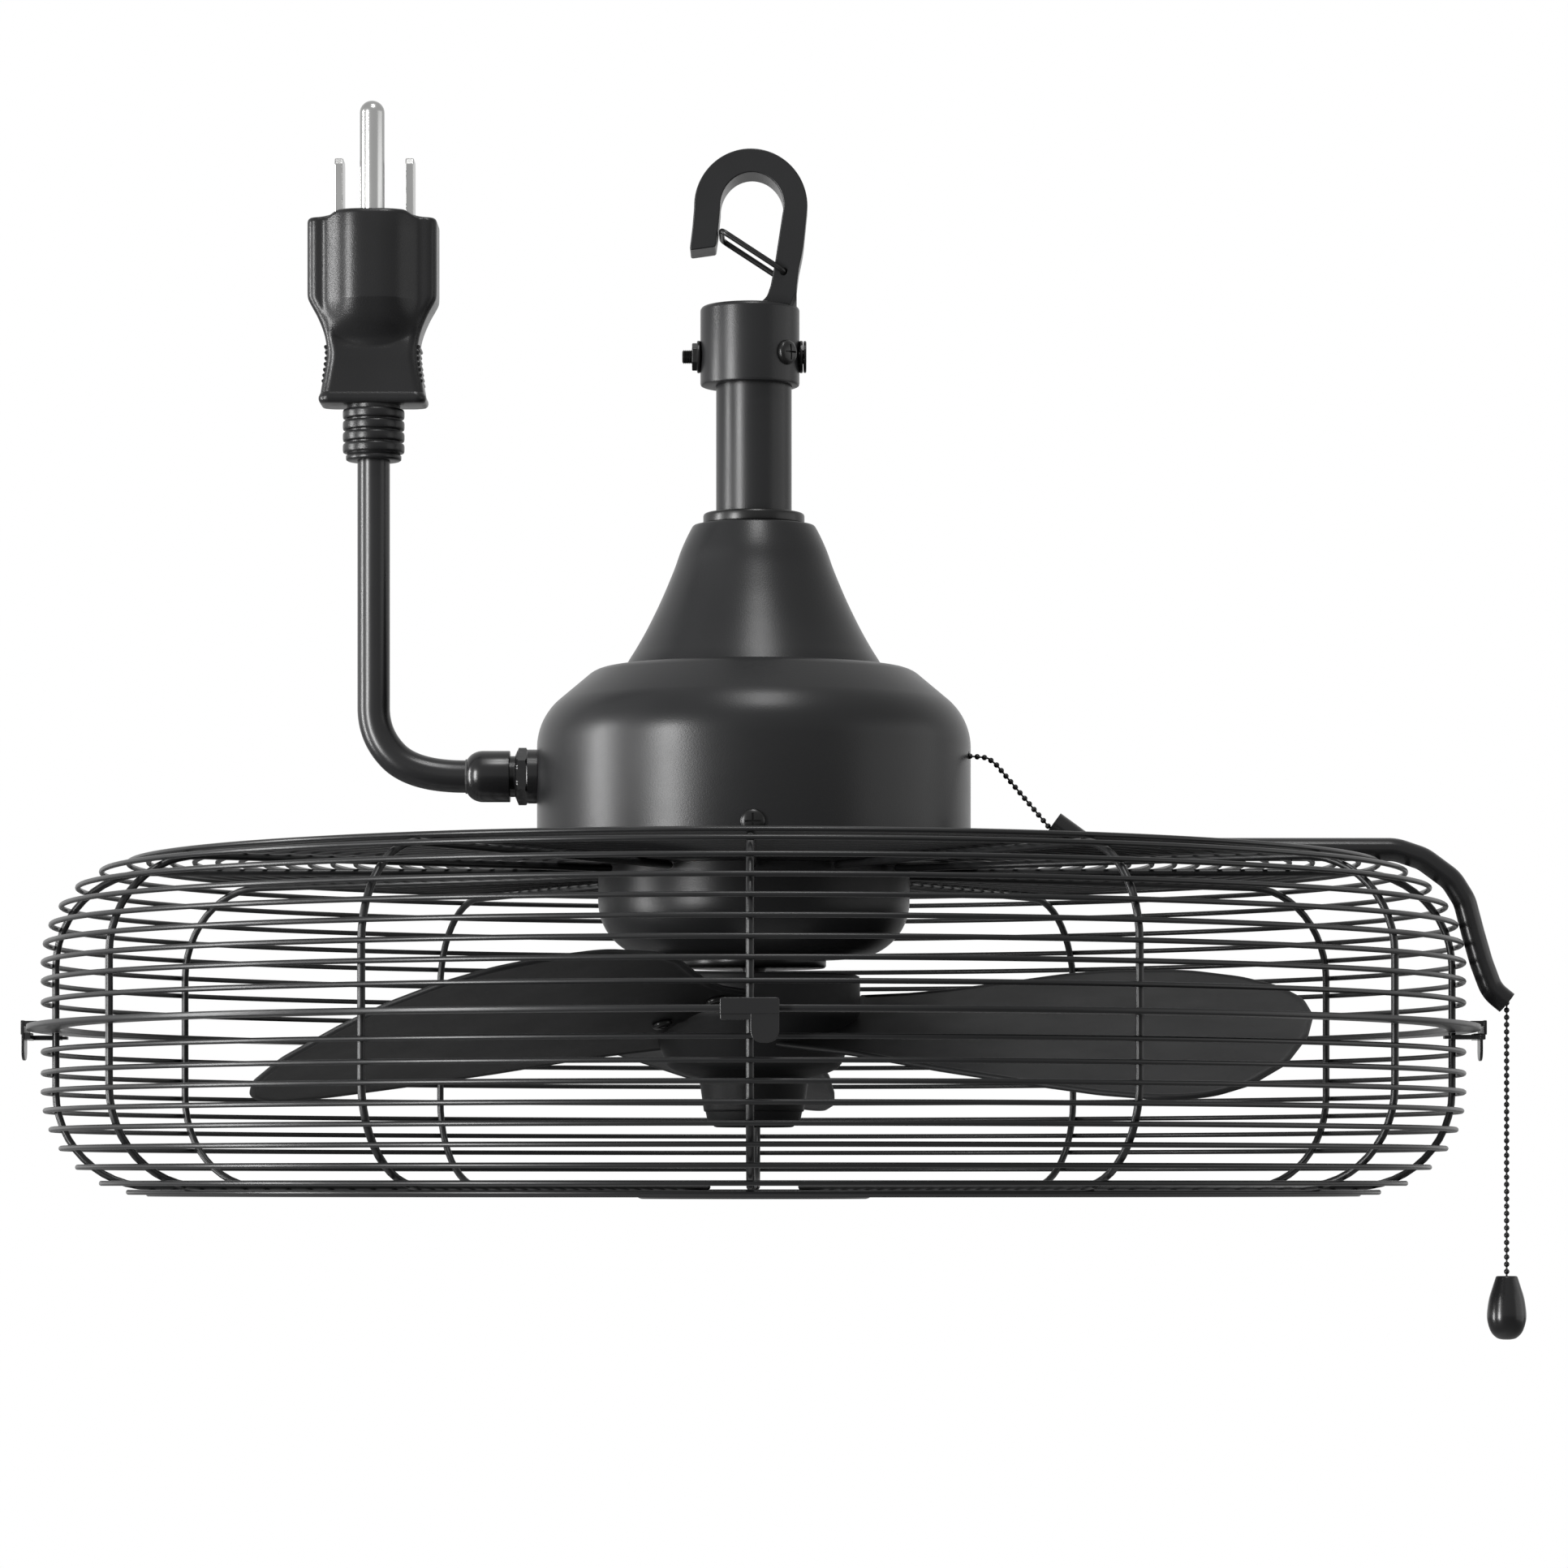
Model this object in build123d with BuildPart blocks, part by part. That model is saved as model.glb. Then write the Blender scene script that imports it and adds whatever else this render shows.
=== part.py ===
from build123d import *
import math
import os

os.makedirs("parts", exist_ok=True)

# frame: origin at the centre of the hook bow, z up, the fan axis a little to the right of it
fan_x = 1.4
guard_mid_z = -289.3

# fits: sliding clearance in a bore, the gap kept beside a moving piece, the seat gap of a push-on piece
bore_clearance = 0.08
side_gap = 0.3
fit_gap = 0.1

# hook: a flat forged bow with a nose on the left and a shank on the right
bow_inner_r = 11.9
bow_outer_r = 20.3
plate_half = 9.9
nose_outer_z = -15.4
nose_inner_z = -14.1
shank_outer_mid = (17.6, -19.1)
shank_outer_foot = (15.7, -33.1)
shank_inner_top = (11.3, -3.8)
shank_inner_mid = (8.7, -19.6)
shank_inner_low = (6.5, -29.6)
shank_inner_foot = (4.3, -33.2)
shank_root_depth = 3.0

# collar below the hook, which takes the down rod
collar_r = 17.5
collar_top_z = -34.4
collar_bottom_z = -62.1
collar_edge = 1.4

# wire gate of the hook
gate_wire_r = 1.0
gate_pivot_x = 12.0
gate_pivot_z = -23.1
gate_end_x = -10.7
gate_end_z = -8.8
gate_end_split = 0.3

# through bolt, nut and washers of the collar, and its set screw
bolt_z = -51.7
bolt_r = 2.5
bolt_stud_end_x = -23.9
washer_r = 5.6
washer_t = 0.9
nut_t = 2.0
nut_corner_r = 4.95
bolt_head_r = 5.3
bolt_head_t = 1.5
set_azimuth = -42.0
set_head_r = 4.35
set_dome_r = 2.6
set_head_t = 2.3
set_shank_r = 2.0

# down rod, its trim washer and the coupling that holds its lower end
rod_r = 13.35
rod_bore_r = 11.35
rod_top_z = -40.7
rod_bottom_z = -155.0
trim_r = 17.9
trim_top_z = -107.1
cone_top_z = -111.4
coupling_r = 19.0
coupling_top_z = -125.0
pin_r = 2.5
pin_z = -138.0
pin_half = 18.4

# cone cover over the coupling: it flares down to the housing
cone_wall = 1.6
cone_edge = 0.7
cone_top_r = 22.0
cone_neck_r = 25.9
cone_neck_z = -120.6
cone_waist_r = 30.2
cone_waist_z = -132.0
cone_flare_r = 35.4
cone_flare_z = -143.5
cone_foot_r = 44.1

# motor housing: flat top, sloping shoulder, rounded corner, straight side
housing_wall = 2.0
housing_top_z = -159.5
housing_top_r = 51.0
housing_r = 76.55
shoulder_r = 22.0
shoulder_z = -190.0
shoulder_start = 52.3
housing_bottom_z = -230.1
screw_z = -220.5
screw_head_r = 4.35
screw_dome_r = 2.4
screw_head_t = 1.7
screw_shank_r = 1.7
screw_length = 4.6
gland_z = -199.9
chain_hole_r = 2.0
chain_y = -12.0
chain_z = -192.9

# plate that carries the guard, the lower motor bell and its end plate
plate_r = 79.0
plate_hole_r = 53.5
bell_r = 55.0
bell_wall = 2.0
bell_corner_r = 20.0
bell_bottom_z = -264.0
end_plate_r = 25.5
end_plate_bottom_z = -267.6

# motor inside: bracket with the upper bearing, stator, rotor, bearings, capacitor and switch
bracket_rim_wall = 4.0
bracket_rim_top_z = -213.0
bracket_floor_t = 2.0
bracket_roof_z = -220.0
cup_r = 50.0
bearing_r = 9.0
bearing_wall = 2.5
upper_bearing_bottom_z = -228.6
lower_bearing_top_z = -255.5
stator_r = 46.0
stator_bore_r = 30.6
stator_top_z = -234.0
stator_bottom_z = -254.0
winding_inner_r = 31.4
upper_winding_r = 44.0
lower_winding_r = 34.2
winding_top_z = -229.6
rotor_r = 30.0
rotor_inset = 1.0
shaft_r = 4.1
shaft_top_z = -217.0
shaft_bottom_z = -300.0
capacitor_length = 30.0
capacitor_width = 24.0
capacitor_height = 18.0
capacitor_x = -30.0
switch_x = 34.0
switch_length = 14.0
switch_width = 20.0
switch_top_z = -186.0

# hub under the motor, with three pads that carry the blades, and the spinner cap below
hub_r = 37.5
hub_top_z = -270.2
hub_side_z = -284.7
hub_taper_r = 34.2
hub_taper_z = -293.1
hub_low_r = 31.4
hub_low_z = -301.2
hub_bottom_r = 28.3
hub_bottom_z = -304.2
pad_inner_u = 28.0
pad_outer_u = 55.0
pad_low_w = -13.0
pad_high_w = 26.0
pad_t = 3.6
spinner_r = 19.3
spinner_rim_z = -308.6
spinner_low_r = 17.8
spinner_low_z = -318.5
spinner_step_r = 17.0
spinner_step_z = -321.2
spinner_bottom_r = 14.2
spinner_bottom_z = -323.8

# blades: flat plates with rounded corners, pitched about their radial line
blade_z = -285.2
blade_t = 2.0
blade_pitch = 18.1
blade_first_azimuth = -7.1
blade_pitch_angle = 120.0
blade_root_inner_u = 30.0
blade_root_high_w = 22.0
blade_notch = (52.0, 25.0)
blade_shoulder_low = (57.0, 33.0)
blade_shoulder = (66.0, 36.0)
blade_high_inner = (89.0, 42.0)
blade_high_mid = (123.0, 56.0)
blade_high_tip = (150.0, 56.5)
blade_tip_upper = (170.0, 48.0)
blade_tip_high = (184.0, 36.0)
blade_tip_outer = (193.0, 20.0)
blade_tip = (197.0, 0.0)
blade_tip_low = (196.0, -24.0)
blade_low_outer = (190.0, -56.0)
blade_low_corner = (179.0, -80.0)
blade_low_turn = (166.0, -95.0)
blade_low_tip = (150.0, -98.0)
blade_low_mid = (128.0, -94.0)
blade_low_inner = (103.0, -82.0)
blade_low_root = (71.0, -61.0)
blade_root_low = (40.0, -39.0)
blade_root_low_inner = (30.0, -32.0)
blade_screw_u = 45.5
blade_screw_high_w = 19.0
blade_screw_low_w = -6.0
blade_screw_head_r = 3.6
blade_screw_dome_r = 2.2
blade_screw_head_t = 2.0
blade_screw_shank_r = 1.8

# wire guard: side rings, flat grille rings, ribs inside them, rim band, centre disc
wire = 1.66
rib = 2.6
side_ring_r = 249.07
corner_r = 213.0
corner_v = 21.9
ring_bend_r = 36.1
rib_bend_r = 33.57
rib_bend_steps = 5
rib_bend_outset = 0.2
side_first_v = 8.6
side_run_v = 16.0
side_pitch = 6.54
side_run_count = 6
corner_upper_v = 54.3
corner_last_v = 57.4
grille_v = 58.0
grille_outer_r = 212.6
grille_pitch = 8.03
lower_grille_count = 22
upper_grille_count = 17
fine_ring_r = 150.0
side_ring_sides = 24
outer_ring_sides = 16
inner_ring_sides = 12
rib_count = 12
upper_rib_end_r = 57.0
lower_rib_end_r = 33.0
band_t = 1.0
band_outer_r = 255.0
band_inner_r = 243.2
band_sides = 36
disc_r = 41.3
disc_bottom_v = -59.8

# push-on clips of the rim: a plate with a lip above, an arm below and a pull tab
clip_half = 9.2
clip_plate_r = 256.7
clip_t = 1.0
clip_lip_r = 252.0
clip_top_v = 3.3
clip_arm_top_v = -2.0
clip_bottom_v = -3.7
clip_arm_r = 245.2
clip_arm_edge = -1.9
clip_stub_r = 243.0
clip_stub_inset = 1.6
clip_stub_t = 1.1
clip_foot_r = 254.4
clip_tab_v = -11.0
clip_tab_corner = 3.0
clip_tab_inset = 0.3

# cable gland on the left, the cord and its plug
gland_flange_r = 9.54
gland_flange_t = 3.5
gland_hex_r = 10.15
gland_hex_t = 4.1
gland_neck_r = 7.24
gland_neck_t = 1.9
gland_stem_r = 5.9
gland_stem_t = 5.5
gland_cap_r = 9.07
gland_cap_edge = 2.2
gland_bore_r = 6.0
cord_r = 5.75
cord_sides = 12
cord_exit = (-100.4, -199.9)
cord_low = (-118.7, -199.9)
cord_turn = (-132.9, -185.7)
cord_top = (-132.9, -88.5)
cord_run_share = 0.45
relief_core_r = 9.1
relief_rib_r = 10.9
relief_rib_t = 2.8
relief_rib_count = 4
relief_height = 18.9
plug_base_half = 19.0
plug_base_depth = 13.0
plug_waist_half = 16.1
plug_waist_depth = 12.0
plug_waist_z = -51.7
plug_shoulder_half = 22.8
plug_shoulder_depth = 17.0
plug_shoulder_low_z = -32.9
plug_shoulder_high_z = -3.2
plug_crest_half = 19.5
plug_crest_depth = 14.5
plug_top_z = 0.9
plug_corner = 6.0
ground_pin_r = 4.35
ground_pin_y = -7.4
ground_pin_top_z = 38.6
prong_x = 12.5
prong_t = 3.0
prong_width = 11.6
prong_y = 7.6
prong_top_z = 19.1

# pull chain and the tube that leads it over the guard
tube_r = 4.1
tube_bore_r = 3.3
tube_sides = 12
tube_inner_end = (106.4, -215.9)
tube_rest_start = (119.8, -226.37)
tube_bend_start = (226.8, -226.37)
tube_bend_high = (236.4, -229.6)
tube_bend_mid = (246.4, -237.0)
tube_bend_low = (251.0, -244.4)
tube_side_high = (253.9, -255.5)
tube_side_low = (256.9, -266.0)
tube_turn_low = (260.6, -275.9)
tube_mouth = (265.9, -280.2)
chain_r = 1.0
chain_exit = (83.0, -192.9)
chain_bend = (87.2, -195.6)
chain_drop = (92.0, -202.4)
chain_tube_end = (264.8, -279.3)
chain_x = 265.8
chain_top_z = -280.0
fob_top_z = -376.1
fob_top_r = 3.87
fob_mid_z = -383.7
fob_mid_r = 6.2
fob_wide_z = -390.4
fob_wide_r = 6.9
fob_low_z = -396.2
fob_low_r = 5.2
fob_bottom_z = -398.5
fob_bottom_r = 2.5
fob_sides = 16

# number of sides of the faceted turnings
coarse = 12
medium = 24
fine = 36
housing_sides = 48

# heights that follow from the guard
rib_run_v = corner_v + rib_bend_r
guard_seat_z = guard_mid_z + rib_run_v + rib / 2
disc_top_z = guard_mid_z - rib_run_v - rib / 2


# a lofted solid with every ruled side made again as a flat face
def flat_sided(part):
    sides = [Face(side.outer_wire()) for side in part.faces()]
    return Solid(Shell(sides))


# a turned solid with flat sides, through pairs of radius and height, from the bottom up
def turning(stations, sides, reach=False, x=fan_x, y=0.0):
    with BuildPart() as turned:
        for radius, height in stations:
            with BuildSketch(Plane.XY.offset(height)):
                with Locations((x, y)):
                    RegularPolygon(radius, sides, major_radius=reach, rotation=180 / sides)
        loft(ruled=True)
    return flat_sided(turned.part)


# a screw head: a rim on its seat and a smaller face at its top, at a spot of the seat's plane
def screw_head(seat, rim_r, dome_r, height, sides, spot=(0, 0)):
    with BuildPart() as head:
        with BuildSketch(seat):
            with Locations(spot):
                RegularPolygon(rim_r, sides)
        with BuildSketch(seat.offset(height)):
            with Locations(spot):
                RegularPolygon(dome_r, sides)
        loft(ruled=True)
    return flat_sided(head.part)


# a round bar from one height to another
def bar(radius, bottom, top, x=fan_x, y=0.0):
    with BuildPart() as round_bar:
        with BuildSketch(Plane.XY.offset(bottom)):
            with Locations((x, y)):
                Circle(radius)
        extrude(amount=top - bottom)
    return round_bar.part


# the plane across a line that leaves the fan or collar axis at an azimuth, at a height and a distance
def radial_plane(azimuth, height, distance, centre_x):
    turn = Location((centre_x, 0, height), (0, 0, azimuth))
    return Plane(turn * Location((distance, 0, 0), (0, 90, 0)))


# the plane of a blade: x along its radial line, y across it towards the higher edge
def blade_plane(index):
    azimuth = blade_first_azimuth - index * blade_pitch_angle
    turn = Location((fan_x, 0, blade_z), (0, 0, azimuth))
    return Plane(turn * Location((0, 0, 0), (blade_pitch, 0, 0)))


def save(solid, name):
    solid.label = name
    export_step(solid, "parts/" + name + ".step")


# hook and collar, one casting
def make_hook_collar():
    with BuildPart() as hook_collar:
        with BuildSketch(Plane.XY.offset(collar_bottom_z)):
            Circle(collar_r)
        extrude(amount=collar_top_z - collar_bottom_z)
        chamfer(hook_collar.edges().group_by(Axis.Z)[-1], collar_edge)
        root_z = collar_top_z - shank_root_depth
        with BuildSketch(Plane.XZ):
            with BuildLine():
                Line((-bow_outer_r, nose_outer_z), (-bow_outer_r, 0))
                ThreePointArc((-bow_outer_r, 0), (0, bow_outer_r), (bow_outer_r, 0))
                Polyline((bow_outer_r, 0), shank_outer_mid, shank_outer_foot,
                         (shank_outer_foot[0], root_z), (shank_inner_foot[0], root_z),
                         shank_inner_foot, shank_inner_low, shank_inner_mid, shank_inner_top,
                         (bow_inner_r, 0))
                ThreePointArc((bow_inner_r, 0), (0, bow_inner_r), (-bow_inner_r, 0))
                Polyline((-bow_inner_r, 0), (-bow_inner_r, nose_inner_z),
                         (-bow_outer_r, nose_outer_z))
            make_face()
        extrude(amount=plate_half, both=True)
        with BuildSketch(Plane.XY.offset(collar_bottom_z)):
            with Locations((fan_x, 0)):
                RegularPolygon(rod_r + fit_gap, fine, major_radius=False)
        extrude(amount=rod_top_z - collar_bottom_z, mode=Mode.SUBTRACT)
        with BuildSketch(Plane.XZ):
            with Locations((gate_pivot_x, gate_pivot_z)):
                Circle(gate_wire_r + bore_clearance)
        extrude(amount=bow_outer_r, both=True, mode=Mode.SUBTRACT)
        with BuildSketch(Plane.YZ):
            with Locations((0, bolt_z)):
                RegularPolygon(bolt_r + fit_gap, coarse, major_radius=False)
        extrude(amount=collar_r, both=True, mode=Mode.SUBTRACT)
        with BuildSketch(radial_plane(set_azimuth, bolt_z, 0, 0)):
            RegularPolygon(set_shank_r + fit_gap, coarse, major_radius=False)
        extrude(amount=collar_r, mode=Mode.SUBTRACT)
    save(hook_collar.part, "hook_collar")


# wire gate: two legs beside the plate, a cross piece in the nose, two ends in the pivot bore
def make_wire_gate():
    leg_y = plate_half + side_gap + gate_wire_r
    pivot = (gate_pivot_x, gate_pivot_z)
    end = (gate_end_x, gate_end_z)
    with BuildPart() as wire_gate:
        with BuildLine():
            Polyline((pivot[0], -gate_end_split / 2, pivot[1]), (pivot[0], -leg_y, pivot[1]),
                     (end[0], -leg_y, end[1]), (end[0], leg_y, end[1]),
                     (pivot[0], leg_y, pivot[1]), (pivot[0], gate_end_split / 2, pivot[1]))
        with BuildSketch(Plane.XZ.offset(gate_end_split / 2)):
            with Locations(pivot):
                Circle(gate_wire_r)
        sweep(transition=Transition.RIGHT)
    save(wire_gate.part, "wire_gate")


# through bolt with its pan head on the right and its threaded end on the left
def make_collar_bolt():
    head_x = collar_r + washer_t
    with BuildPart() as collar_bolt:
        with BuildSketch(Plane.YZ.offset(bolt_stud_end_x)):
            with Locations((0, bolt_z)):
                RegularPolygon(bolt_r, coarse)
        extrude(amount=head_x - bolt_stud_end_x)
        with BuildSketch(Plane.YZ.offset(head_x)):
            with Locations((0, bolt_z)):
                RegularPolygon(bolt_head_r, medium)
        extrude(amount=bolt_head_t)
    save(collar_bolt.part, "collar_bolt")


# the two washers under the bolt head and the nut
def make_collar_washers():
    with BuildPart() as collar_washers:
        for start in (collar_r, -collar_r - washer_t):
            with BuildSketch(Plane.YZ.offset(start)):
                with Locations((0, bolt_z)):
                    RegularPolygon(washer_r, medium)
                    RegularPolygon(bolt_r + fit_gap, coarse, major_radius=False, mode=Mode.SUBTRACT)
            extrude(amount=washer_t)
    save(collar_washers.part, "collar_washers")


def make_collar_nut():
    with BuildPart() as collar_nut:
        with BuildSketch(Plane.YZ.offset(-collar_r - washer_t - nut_t)):
            with Locations((0, bolt_z)):
                RegularPolygon(nut_corner_r, 6, rotation=30)
                RegularPolygon(bolt_r + fit_gap / 2, coarse, major_radius=False, mode=Mode.SUBTRACT)
        extrude(amount=nut_t)
    save(collar_nut.part, "collar_nut")


# set screw at the front right of the collar: its tip bears on the rod
def make_set_screw():
    turn = math.radians(set_azimuth)
    side = fan_x * math.sin(turn)
    tip = fan_x * math.cos(turn) + math.sqrt(rod_r ** 2 - side ** 2) + fit_gap / 2
    head = screw_head(radial_plane(set_azimuth, bolt_z, collar_r, 0), set_head_r, set_dome_r,
                      set_head_t, medium)
    with BuildPart() as set_screw:
        with BuildSketch(radial_plane(set_azimuth, bolt_z, tip, 0)):
            RegularPolygon(set_shank_r, coarse)
        extrude(amount=collar_r - tip)
        add(head)
    save(set_screw.part, "set_screw")


# down rod: a pipe with cross holes for the through bolt and the pin
def make_down_rod():
    length = rod_top_z - rod_bottom_z
    with BuildPart() as down_rod:
        with BuildSketch(Plane.XY.offset(rod_bottom_z)):
            with Locations((fan_x, 0)):
                RegularPolygon(rod_r, fine)
                RegularPolygon(rod_bore_r, coarse, mode=Mode.SUBTRACT)
        extrude(amount=length)
        with BuildSketch(Plane.YZ):
            with Locations((0, bolt_z)):
                RegularPolygon(bolt_r + fit_gap, coarse, major_radius=False)
        extrude(amount=2 * rod_r, both=True, mode=Mode.SUBTRACT)
        with BuildSketch(Plane.XZ):
            with Locations((fan_x, pin_z)):
                RegularPolygon(pin_r + fit_gap, coarse, major_radius=False)
        extrude(amount=2 * rod_r, both=True, mode=Mode.SUBTRACT)
    save(down_rod.part, "down_rod")


def make_trim_washer():
    with BuildPart() as trim_washer:
        with BuildSketch(Plane.XY.offset(cone_top_z)):
            with Locations((fan_x, 0)):
                RegularPolygon(trim_r, fine)
                RegularPolygon(rod_r + fit_gap, coarse, major_radius=False, mode=Mode.SUBTRACT)
        extrude(amount=trim_top_z - cone_top_z)
    save(trim_washer.part, "trim_washer")


# cone cover: a thin shell, open below, with the rod through its top
def make_cone_cover():
    outer = turning([(cone_foot_r, housing_top_z), (cone_flare_r, cone_flare_z),
                     (cone_waist_r, cone_waist_z), (cone_neck_r, cone_neck_z),
                     (cone_top_r, cone_top_z - cone_edge), (cone_top_r - cone_edge, cone_top_z)], fine)
    inner = turning([(cone_foot_r - cone_wall, housing_top_z), (cone_waist_r - cone_wall, cone_waist_z),
                     (cone_top_r - cone_wall, cone_top_z - cone_wall)], coarse, reach=True)
    with BuildPart() as cone_cover:
        add(outer)
        add(inner, mode=Mode.SUBTRACT)
        with BuildSketch(Plane.XY.offset(cone_top_z)):
            with Locations((fan_x, 0)):
                RegularPolygon(rod_r + fit_gap, coarse, major_radius=False)
        extrude(amount=-2 * cone_wall, mode=Mode.SUBTRACT)
    save(cone_cover.part, "cone_cover")


# rod coupling: a socket on the housing with the cross pin through it and the rod
def make_rod_coupling():
    outer = turning([(coupling_r, housing_top_z), (coupling_r, coupling_top_z)], coarse)
    with BuildPart() as rod_coupling:
        add(outer)
        with BuildSketch(Plane.XY.offset(rod_bottom_z)):
            with Locations((fan_x, 0)):
                RegularPolygon(rod_r + fit_gap, coarse, major_radius=False)
        extrude(amount=coupling_top_z - rod_bottom_z, mode=Mode.SUBTRACT)
        with BuildSketch(Plane.XZ):
            with Locations((fan_x, pin_z)):
                RegularPolygon(pin_r + fit_gap, coarse, major_radius=False)
        extrude(amount=2 * coupling_r, both=True, mode=Mode.SUBTRACT)
    save(rod_coupling.part, "rod_coupling")


def make_coupling_pin():
    with BuildPart() as coupling_pin:
        with BuildSketch(Plane.XZ):
            with Locations((fan_x, pin_z)):
                RegularPolygon(pin_r, coarse, major_radius=False)
        extrude(amount=pin_half, both=True)
    save(coupling_pin.part, "coupling_pin")


# motor housing: the shoulder arc is stepped between the slope and the straight side
def make_motor_housing():
    centre_r = housing_r - shoulder_r
    shoulder = []
    for share in (0, 1 / 3, 2 / 3, 1):
        turn = math.radians(shoulder_start * share)
        shoulder.append((centre_r + shoulder_r * math.cos(turn), shoulder_z + shoulder_r * math.sin(turn)))
    outer = turning([(housing_r, housing_bottom_z)] + shoulder + [(housing_top_r, housing_top_z)],
                    housing_sides)
    inner_r = housing_r - housing_wall
    inner = turning([(inner_r, housing_bottom_z), (inner_r, shoulder_z),
                     (housing_top_r, housing_top_z - housing_wall)], medium, reach=True)
    with BuildPart() as motor_housing:
        add(outer)
        add(inner, mode=Mode.SUBTRACT)
        with BuildSketch(Plane.YZ.offset(fan_x)):
            with Locations((0, gland_z)):
                RegularPolygon(gland_stem_r + fit_gap, coarse, major_radius=False)
        extrude(amount=-2 * housing_r, mode=Mode.SUBTRACT)
        with BuildSketch(Plane.YZ.offset(fan_x)):
            with Locations((chain_y, chain_z)):
                RegularPolygon(chain_hole_r, coarse)
        extrude(amount=2 * housing_r, mode=Mode.SUBTRACT)
        for azimuth in screw_azimuths():
            with BuildSketch(radial_plane(azimuth, screw_z, 0, fan_x)):
                RegularPolygon(screw_shank_r + fit_gap, 6)
            extrude(amount=2 * housing_r, mode=Mode.SUBTRACT)
    save(motor_housing.part, "motor_housing")


# three screws round the housing, one of them in front
def screw_azimuths():
    return (-90, 30, 150)


def make_housing_screws():
    heads = [screw_head(radial_plane(azimuth, screw_z, housing_r, fan_x), screw_head_r, screw_dome_r,
                        screw_head_t, coarse) for azimuth in screw_azimuths()]
    with BuildPart() as housing_screws:
        for azimuth in screw_azimuths():
            with BuildSketch(radial_plane(azimuth, screw_z, housing_r - screw_length, fan_x)):
                RegularPolygon(screw_shank_r, 6)
            extrude(amount=screw_length)
        add(heads)
    save(housing_screws.part, "housing_screws")


# plate between the housing and the guard, on which the upper ribs are welded
def make_mounting_plate():
    with BuildPart() as mounting_plate:
        with BuildSketch(Plane.XY.offset(guard_seat_z)):
            with Locations((fan_x, 0)):
                RegularPolygon(plate_r, fine, major_radius=False)
                RegularPolygon(plate_hole_r, medium, major_radius=False, rotation=180 / medium,
                               mode=Mode.SUBTRACT)
        extrude(amount=housing_bottom_z - guard_seat_z)
    save(mounting_plate.part, "mounting_plate")


# lower motor bell: a cup with a rounded corner, with the lower bearing in its floor
def make_lower_bell():
    centre_r = bell_r - bell_corner_r
    centre_z = bell_bottom_z + bell_corner_r
    inner_corner_r = bell_corner_r - bell_wall
    corner = []
    inner_corner = []
    for share in (0, 1 / 4, 1 / 2, 3 / 4, 1):
        turn = math.pi / 2 * share
        corner.append((centre_r + bell_corner_r * math.sin(turn), centre_z - bell_corner_r * math.cos(turn)))
        inner_corner.append((centre_r + inner_corner_r * math.sin(turn),
                             centre_z - inner_corner_r * math.cos(turn)))
    outer = turning(corner + [(bell_r, guard_seat_z)], fine)
    inner = turning(inner_corner + [(bell_r - bell_wall, guard_seat_z)], medium, reach=True)
    boss = turning([(bearing_r + bearing_wall, bell_bottom_z + bell_wall),
                    (bearing_r + bearing_wall, lower_bearing_top_z)], coarse)
    pocket = turning([(bearing_r + fit_gap, bell_bottom_z + bell_wall),
                      (bearing_r + fit_gap, lower_bearing_top_z)], coarse)
    with BuildPart() as lower_bell:
        add(outer)
        add(inner, mode=Mode.SUBTRACT)
        add(boss)
        add(pocket, mode=Mode.SUBTRACT)
        with BuildSketch(Plane.XY.offset(bell_bottom_z)):
            with Locations((fan_x, 0)):
                RegularPolygon(shaft_r + side_gap, coarse, major_radius=False)
        extrude(amount=2 * bell_wall, mode=Mode.SUBTRACT)
    save(lower_bell.part, "lower_bell")


def make_end_plate():
    with BuildPart() as end_plate:
        with BuildSketch(Plane.XY.offset(end_plate_bottom_z)):
            with Locations((fan_x, 0)):
                RegularPolygon(end_plate_r, fine)
                RegularPolygon(shaft_r + side_gap, coarse, major_radius=False, mode=Mode.SUBTRACT)
        extrude(amount=bell_bottom_z - end_plate_bottom_z)
    save(end_plate.part, "end_plate")


# bearing bracket inside the housing: a rim for the screws, a cup over the windings, the upper bearing
def make_bearing_bracket():
    rim_r = housing_r - housing_wall - fit_gap
    rim = turning([(rim_r, housing_bottom_z), (rim_r, bracket_rim_top_z)], medium, reach=True)
    hollow = turning([(rim_r - bracket_rim_wall, housing_bottom_z + bracket_floor_t),
                      (rim_r - bracket_rim_wall, bracket_rim_top_z)], coarse, reach=True)
    cup = turning([(cup_r, housing_bottom_z), (cup_r, bracket_roof_z)], coarse, reach=True)
    cup_hollow = turning([(cup_r - bracket_floor_t, housing_bottom_z),
                          (cup_r - bracket_floor_t, bracket_roof_z - bracket_floor_t)], coarse, reach=True)
    boss = turning([(bearing_r + bearing_wall, upper_bearing_bottom_z),
                    (bearing_r + bearing_wall, bracket_roof_z - bracket_floor_t)], coarse)
    pocket = turning([(bearing_r + fit_gap, upper_bearing_bottom_z),
                      (bearing_r + fit_gap, bracket_roof_z - bracket_floor_t)], coarse)
    with BuildPart() as bearing_bracket:
        add(rim)
        add(hollow, mode=Mode.SUBTRACT)
        add(cup)
        add(cup_hollow, mode=Mode.SUBTRACT)
        add(boss)
        add(pocket, mode=Mode.SUBTRACT)
        with BuildSketch(Plane.XY.offset(bracket_roof_z)):
            with Locations((fan_x, 0)):
                RegularPolygon(shaft_r + side_gap, coarse, major_radius=False)
        extrude(amount=-2 * bracket_floor_t, mode=Mode.SUBTRACT)
        for azimuth in screw_azimuths():
            with BuildSketch(radial_plane(azimuth, screw_z, rim_r - screw_length, fan_x)):
                RegularPolygon(screw_shank_r + fit_gap, 6)
            extrude(amount=2 * screw_length, mode=Mode.SUBTRACT)
    save(bearing_bracket.part, "bearing_bracket")


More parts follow.
